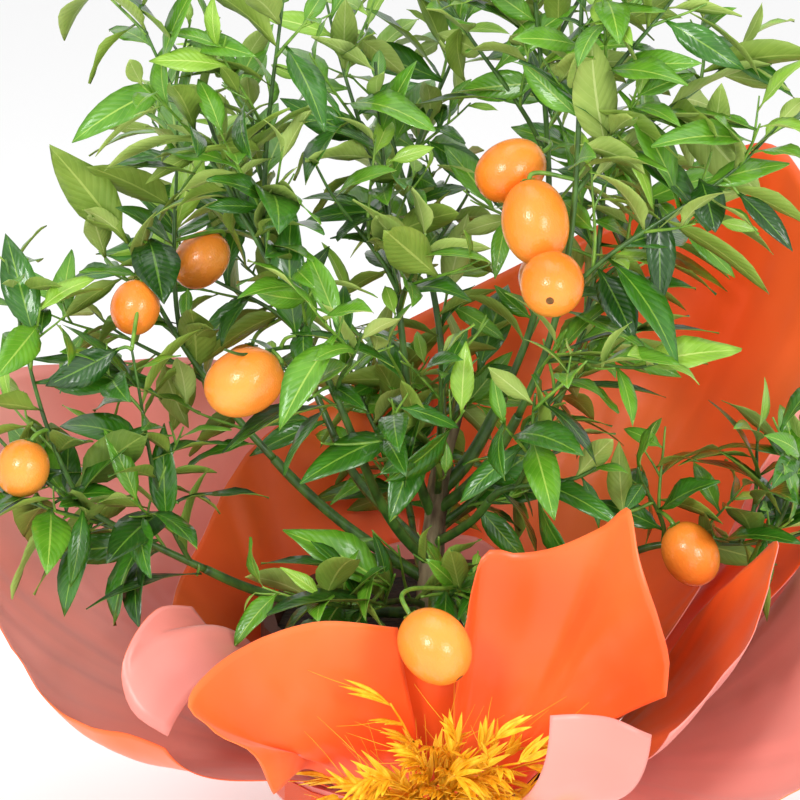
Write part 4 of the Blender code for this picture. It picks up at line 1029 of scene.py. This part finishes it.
for number, name in enumerate(MASSES):
    rng = random.Random(SEED + number)
    sheaf = groups[group_of[name]]
    lines = lines_of[name]
    for mass, root, tip, width in LONE_LEAVES:
        if mass != name:
            continue
        root, tip = Vector(root), Vector(tip)
        way = (tip - root).normalized()
        foot = nearest_foot(lines, root)
        face, side = leaf_frame(way, tip - foot)
        length = (tip - root).length
        set_leaf(sheaf, root, (way + face * 0.25).normalized(), face, side, length * 1.03, width,
                 rng.choice((0, 0, 1)), rng, arch=0.5)
        if (root - foot).length > 0.002:
            green_wood.add_limb([foot, foot.lerp(root, 0.5) + UP * 0.001, root + way * 0.003],
                                TWIG_RADIUS * 1.1, TWIG_RADIUS * 0.8, 1)
    every = TWIG_EVERY * (LOW_CROWDING if name in LOW_MASSES else 1.0)
    twigs = [twig for line in lines for twig in twigs_along(name, line, rng, every, *TWIG_LENGTHS)]
    sprigs = [sprig for twig in twigs for sprig in twigs_along(name, twig, rng, SPRIG_EVERY, *SPRIG_LENGTHS)]
    green_wood.add_limb(lines[0], STEM_RADIUS * 1.06, STEM_RADIUS * 0.42, 0, 10, 5)
    for line in lines[1:]:
        green_wood.add_limb(line, ARM_RADIUS, ARM_RADIUS * 0.45, 0, 8, 4)
    for twig in twigs:
        green_wood.add_limb(twig, TWIG_RADIUS, TWIG_RADIUS * 0.5, 1)
    for sprig in sprigs:
        green_wood.add_limb(sprig, TWIG_RADIUS * 0.75, TWIG_RADIUS * 0.4, 1, 5, 2)
    # Painted light: sprays high in the crown get lighter leaf tones
    painted_crown_light = painted_light_share(lines[0])
    for bearers, (age, crown_lightening, first, scale) in zip((lines, twigs, sprigs), LEAF_RULES):
        for line in bearers:
            leaves_along(name, line, sheaf, rng, age + crown_lightening * painted_crown_light, first, scale)

# Fruit: ripe oval citrus fruit, waxy, with fine oil pores. Each has a small green calyx at its stalk and
# a brown scar where the style fell, and hangs on a short stalk from the nearest limb of its spray.
# Peel: pores 0.87 mm apart, a little wider than real ones so that they show, break up the wax's gloss,
# and some light comes back from under it.
peel, peel_tree, peel_shader, peel_place = finish_of("pored_citrus_peel", 0.27, 0.30, 1.45)
tone = add_node(peel_tree, "ShaderNodeTexNoise", [("Vector", peel_place, "Object")],
                Scale=per_metre(35.71), Detail=1.0)
peel_ramp = add_node(peel_tree, "ShaderNodeValToRGB", [("Fac", tone, "Fac")])
set_stops(peel_ramp, (0.30, 0.72), ("#fb8222", "#ffa040"))
pores = add_node(peel_tree, "ShaderNodeTexVoronoi", [("Vector", peel_place, "Object")],
                 Scale=per_metre(0.86957))
pore_depth = add_node(peel_tree, "ShaderNodeBump", [("Height", pores, "Distance")],
                      Strength=0.35, Distance=0.0003)
join(peel_tree, peel_shader, peel_ramp, pore_depth)
peel_shader.inputs["Subsurface Weight"].default_value = 0.12
peel_shader.inputs["Subsurface Radius"].default_value = (0.004, 0.0015, 0.0005)
calyx_green = mottled("calyx_green", "#4d7024", "#7c9a3c", 3.333, 0.5, 0.2)
scar_brown = mottled("style_scar", "#5a3a14", "#7a5222", 2.0, 0.7, 0.4)
FRUIT_SIDES = 40
FRUIT_RINGS = 28
SQUARENESS = 0.94
SWELL = 0.012
CALYX_LOBES = 5
CALYX_REACH = 0.0042
CALYX_DROP = 0.0012
CALYX_LENGTH = 0.0046
CALYX_WIDTH = 0.0040
STALK_RADII = (0.0010, 0.0012)
fruit_sheaf = Sheaf()
for mass, middle, axis, length, width in FRUIT:
    middle, axis = Vector(middle), Vector(axis).normalized()
    across = axis.orthogonal().normalized()
    other = axis.cross(across)
    verts, faces, marks = [middle + axis * length * 0.494], [], []
    for i in range(1, FRUIT_RINGS):
        polar = math.pi * i / FRUIT_RINGS
        radius = 0.5 * width * math.sin(polar) ** SQUARENESS
        along_axis = 0.5 * length * math.cos(polar)
        for k in range(FRUIT_SIDES):
            angle = 2 * math.pi * k / FRUIT_SIDES
            spin = across * math.cos(angle) + other * math.sin(angle)
            swell = 1.0 + SWELL * noise.noise((spin + axis * math.cos(polar)) * 1.3 + middle * 40)
            verts.append(middle + axis * along_axis + spin * radius * swell)
    verts.append(middle - axis * length * 0.492)
    for k in range(FRUIT_SIDES):
        k_next = (k + 1) % FRUIT_SIDES
        faces.append((0, 1 + k, 1 + k_next))
        marks.append(1)
        for i in range(FRUIT_RINGS - 2):
            a, b = 1 + i * FRUIT_SIDES + k, 1 + i * FRUIT_SIDES + k_next
            faces.append((a, a + FRUIT_SIDES, b + FRUIT_SIDES, b))
            marks.append(0)
        low_ring = 1 + (FRUIT_RINGS - 2) * FRUIT_SIDES
        faces.append((low_ring + k, len(verts) - 1, low_ring + k_next))
        marks.append(2)
    fruit_sheaf.add(verts, faces, marks)
    crown = middle + axis * length * 0.5
    foot = nearest_foot(lines_of[mass], crown)
    stalk = limb(foot, (crown - foot + UP * 0.004).normalized(), crown - axis * 0.001, -axis, 6)
    green_wood.add_limb(stalk, *STALK_RADII, 1, 8, 3)
    for k in range(CALYX_LOBES):
        angle = 2 * math.pi * k / CALYX_LOBES
        out = across * math.cos(angle) + other * math.sin(angle)
        tip = crown + out * CALYX_REACH - axis * CALYX_DROP
        lobe_way = (tip - crown).normalized()
        set_leaf(groups[group_of[mass]], crown + axis * 0.0004, lobe_way, axis,
                 axis.cross(lobe_way).normalized(), CALYX_LENGTH, CALYX_WIDTH, 1, random.Random(k), arch=0.2)

seat(fruit_sheaf.finish("oval_fruit", [peel, calyx_green, scar_brown]), "foliage")
seat(green_wood.finish("green_twigs", [green_bark, young_stem]), "foliage")
for side_name, sheaf in groups.items():
    nodes = [name for name in MASSES if group_of[name] == side_name]
    seat(sheaf.finish("leaves_" + side_name, leaf_finishes), "foliage", *nodes)

# Oats: dried wild oats, dyed golden and tied in at the front of the ribbon. Each straw bears nodding
# spikelets of three papery husks, and each spikelet ends in a long bristle.
OAT_KNOT = Vector((0.0, -0.0905, 0.068))
OAT_BUNDLE_TOP = Vector((0.0, -0.1160, 0.090))
OAT_STEMS = 24
OAT_REACH = 0.082
OAT_HEADS_EACH = 5
OAT_HEAD_LENGTH = 0.026
OAT_FAN = 138
FIRST_HEAD, HEAD_RUN = 0.42, 0.56
HUSK_FAN = (-0.16, 0.10, 0.24)
HUSK_WIDTH = 0.0036
STRAW_RADII = (0.0008, 0.0005)
BRISTLE_RADII = (0.00022, 0.00006)
# Dyed straw and husk: streaks of 5 to 6 mm drawn out along the stem, dry and only faintly glossy.
straw = mottled("dyed_straw", "#d69400", "#f8c020", 6.25, 0.55, 0.3, stretch=(1, 1, 0.3))
husk = mottled("dyed_papery_husk", "#e6a400", "#ffd030", 4.762, 0.5, 0.3, stretch=(1, 1, 0.3))
# How far forward the oats may reach
oat_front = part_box("oat_spray")[0][1] - 0.002
oats = Sheaf()
rng = random.Random(SEED + 500)
lead = (OAT_BUNDLE_TOP - OAT_KNOT).normalized()
right = Vector((1.0, 0.0, 0.0))
for i in range(OAT_STEMS):
    swing = math.radians(OAT_FAN * (i / (OAT_STEMS - 1) - 0.5) + rng.uniform(-6, 6))
    tilt = rng.uniform(-0.12, 0.62)
    way = (lead * math.cos(swing) + right * math.sin(swing) + lead.cross(right) * tilt).normalized()
    offset = right * rng.uniform(-0.003, 0.003) + UP * rng.uniform(-0.001, 0.001)
    root = OAT_BUNDLE_TOP - lead * rng.uniform(0.003, 0.012)
    tip = root + way * OAT_REACH * rng.uniform(0.45, 0.95)
    stem = limb(OAT_KNOT + offset, lead, tip, (way - UP * 0.3).normalized(), 8)
    if not open_way([stem[3], tip]):
        continue
    oats.add_limb(stem, *STRAW_RADII, 0, 5)
    for k in range(OAT_HEADS_EACH):
        spot, lead_here = along(stem, FIRST_HEAD + HEAD_RUN * k / (OAT_HEADS_EACH - 1))
        turn = rng.uniform(0, 2 * math.pi)
        out = lead_here.orthogonal().normalized()
        out = out * math.cos(turn) + lead_here.cross(out) * math.sin(turn)
        head_way = (lead_here + out * 0.6 - UP * 0.15).normalized()
        size = OAT_HEAD_LENGTH * rng.uniform(0.75, 1.2)
        face, side = leaf_frame(head_way, out)
        for fan in HUSK_FAN:
            husk_way = (head_way + side * fan).normalized()
            end = spot + husk_way * size
            if end.y < oat_front or limits.ray_cast(spot, husk_way, size * 1.15)[0] is not None:
                continue
            verts, faces, sides, uvs = leaf_body(spot, husk_way, face, side, size * (1 - abs(fan)),
                                                 HUSK_WIDTH, 0.15, 0.9, 0.03, turn)
            oats.add(verts, faces, 1, uvs)
        bristle = spot + head_way * size * 0.6
        bristle_tip = bristle + (head_way + out * 0.35).normalized() * size * rng.uniform(0.7, 1.3)
        if bristle_tip.y >= oat_front and open_way([bristle, bristle_tip]):
            bend = bristle.lerp(bristle_tip, 0.5) + out * 0.001
            oats.add_limb([bristle, bend, bristle_tip], *BRISTLE_RADII, 0, 4, 2)
seat(oats.finish("dried_oats", [straw, husk]), "oat", "oat_spray")

# Room: a plain pale floor without an edge, soft light from above and from both sides at the front, and
# the camera a little above the plant, as in the photograph.
VIEW_HEIGHT = math.radians(15.0)
VIEW_DISTANCE = 1.5
VIEW_TARGET = Vector((-0.018, 0.0, 0.262))
LENS = 135.0
SENSOR = 36.0
ROOM_LIGHT = 0.95
FLOOR_SIZE = 60.0
bpy.ops.mesh.primitive_plane_add(size=FLOOR_SIZE)
floor = bpy.context.active_object
floor.name = "floor"
pale, _, pale_shader, _ = finish_of("pale_floor", 0.9)
pale_shader.inputs["Base Color"].default_value = linear("#fbfbfb")
floor.data.materials.append(pale)
world = bpy.data.worlds.new("studio")
world.use_nodes = True
world.node_tree.nodes["Background"].inputs["Color"].default_value = linear("#ffffff")
world.node_tree.nodes["Background"].inputs["Strength"].default_value = ROOM_LIGHT
bpy.context.scene.world = world
bpy.context.scene.view_settings.view_transform = "Standard"


def soft_light(name, place, size, power):
    """A square studio light aimed at the plant."""
    light = bpy.data.lights.new(name, "AREA")
    light.size = size
    light.energy = power
    ob = bpy.data.objects.new(name, light)
    bpy.context.scene.collection.objects.link(ob)
    ob.location = place
    ob.rotation_euler = (VIEW_TARGET - Vector(place)).to_track_quat("-Z", "Y").to_euler()


soft_light("key_light", (-0.8, -1.7, 1.3), 0.5, 20.0)
soft_light("fill_light", (1.0, -1.7, 0.9), 0.6, 14.0)
soft_light("top_light", (0.1, 0.0, 1.9), 1.2, 7.0)
camera = bpy.data.objects.new("camera", bpy.data.cameras.new("camera"))
bpy.context.scene.collection.objects.link(camera)
aim = Vector((0.0, math.cos(VIEW_HEIGHT), -math.sin(VIEW_HEIGHT)))
camera.location = VIEW_TARGET - aim * VIEW_DISTANCE
camera.rotation_euler = aim.to_track_quat("-Z", "Y").to_euler()
camera.data.lens = LENS
camera.data.sensor_width = SENSOR
camera.data.dof.use_dof = False
bpy.context.scene.camera = camera

bpy.context.view_layer.update()
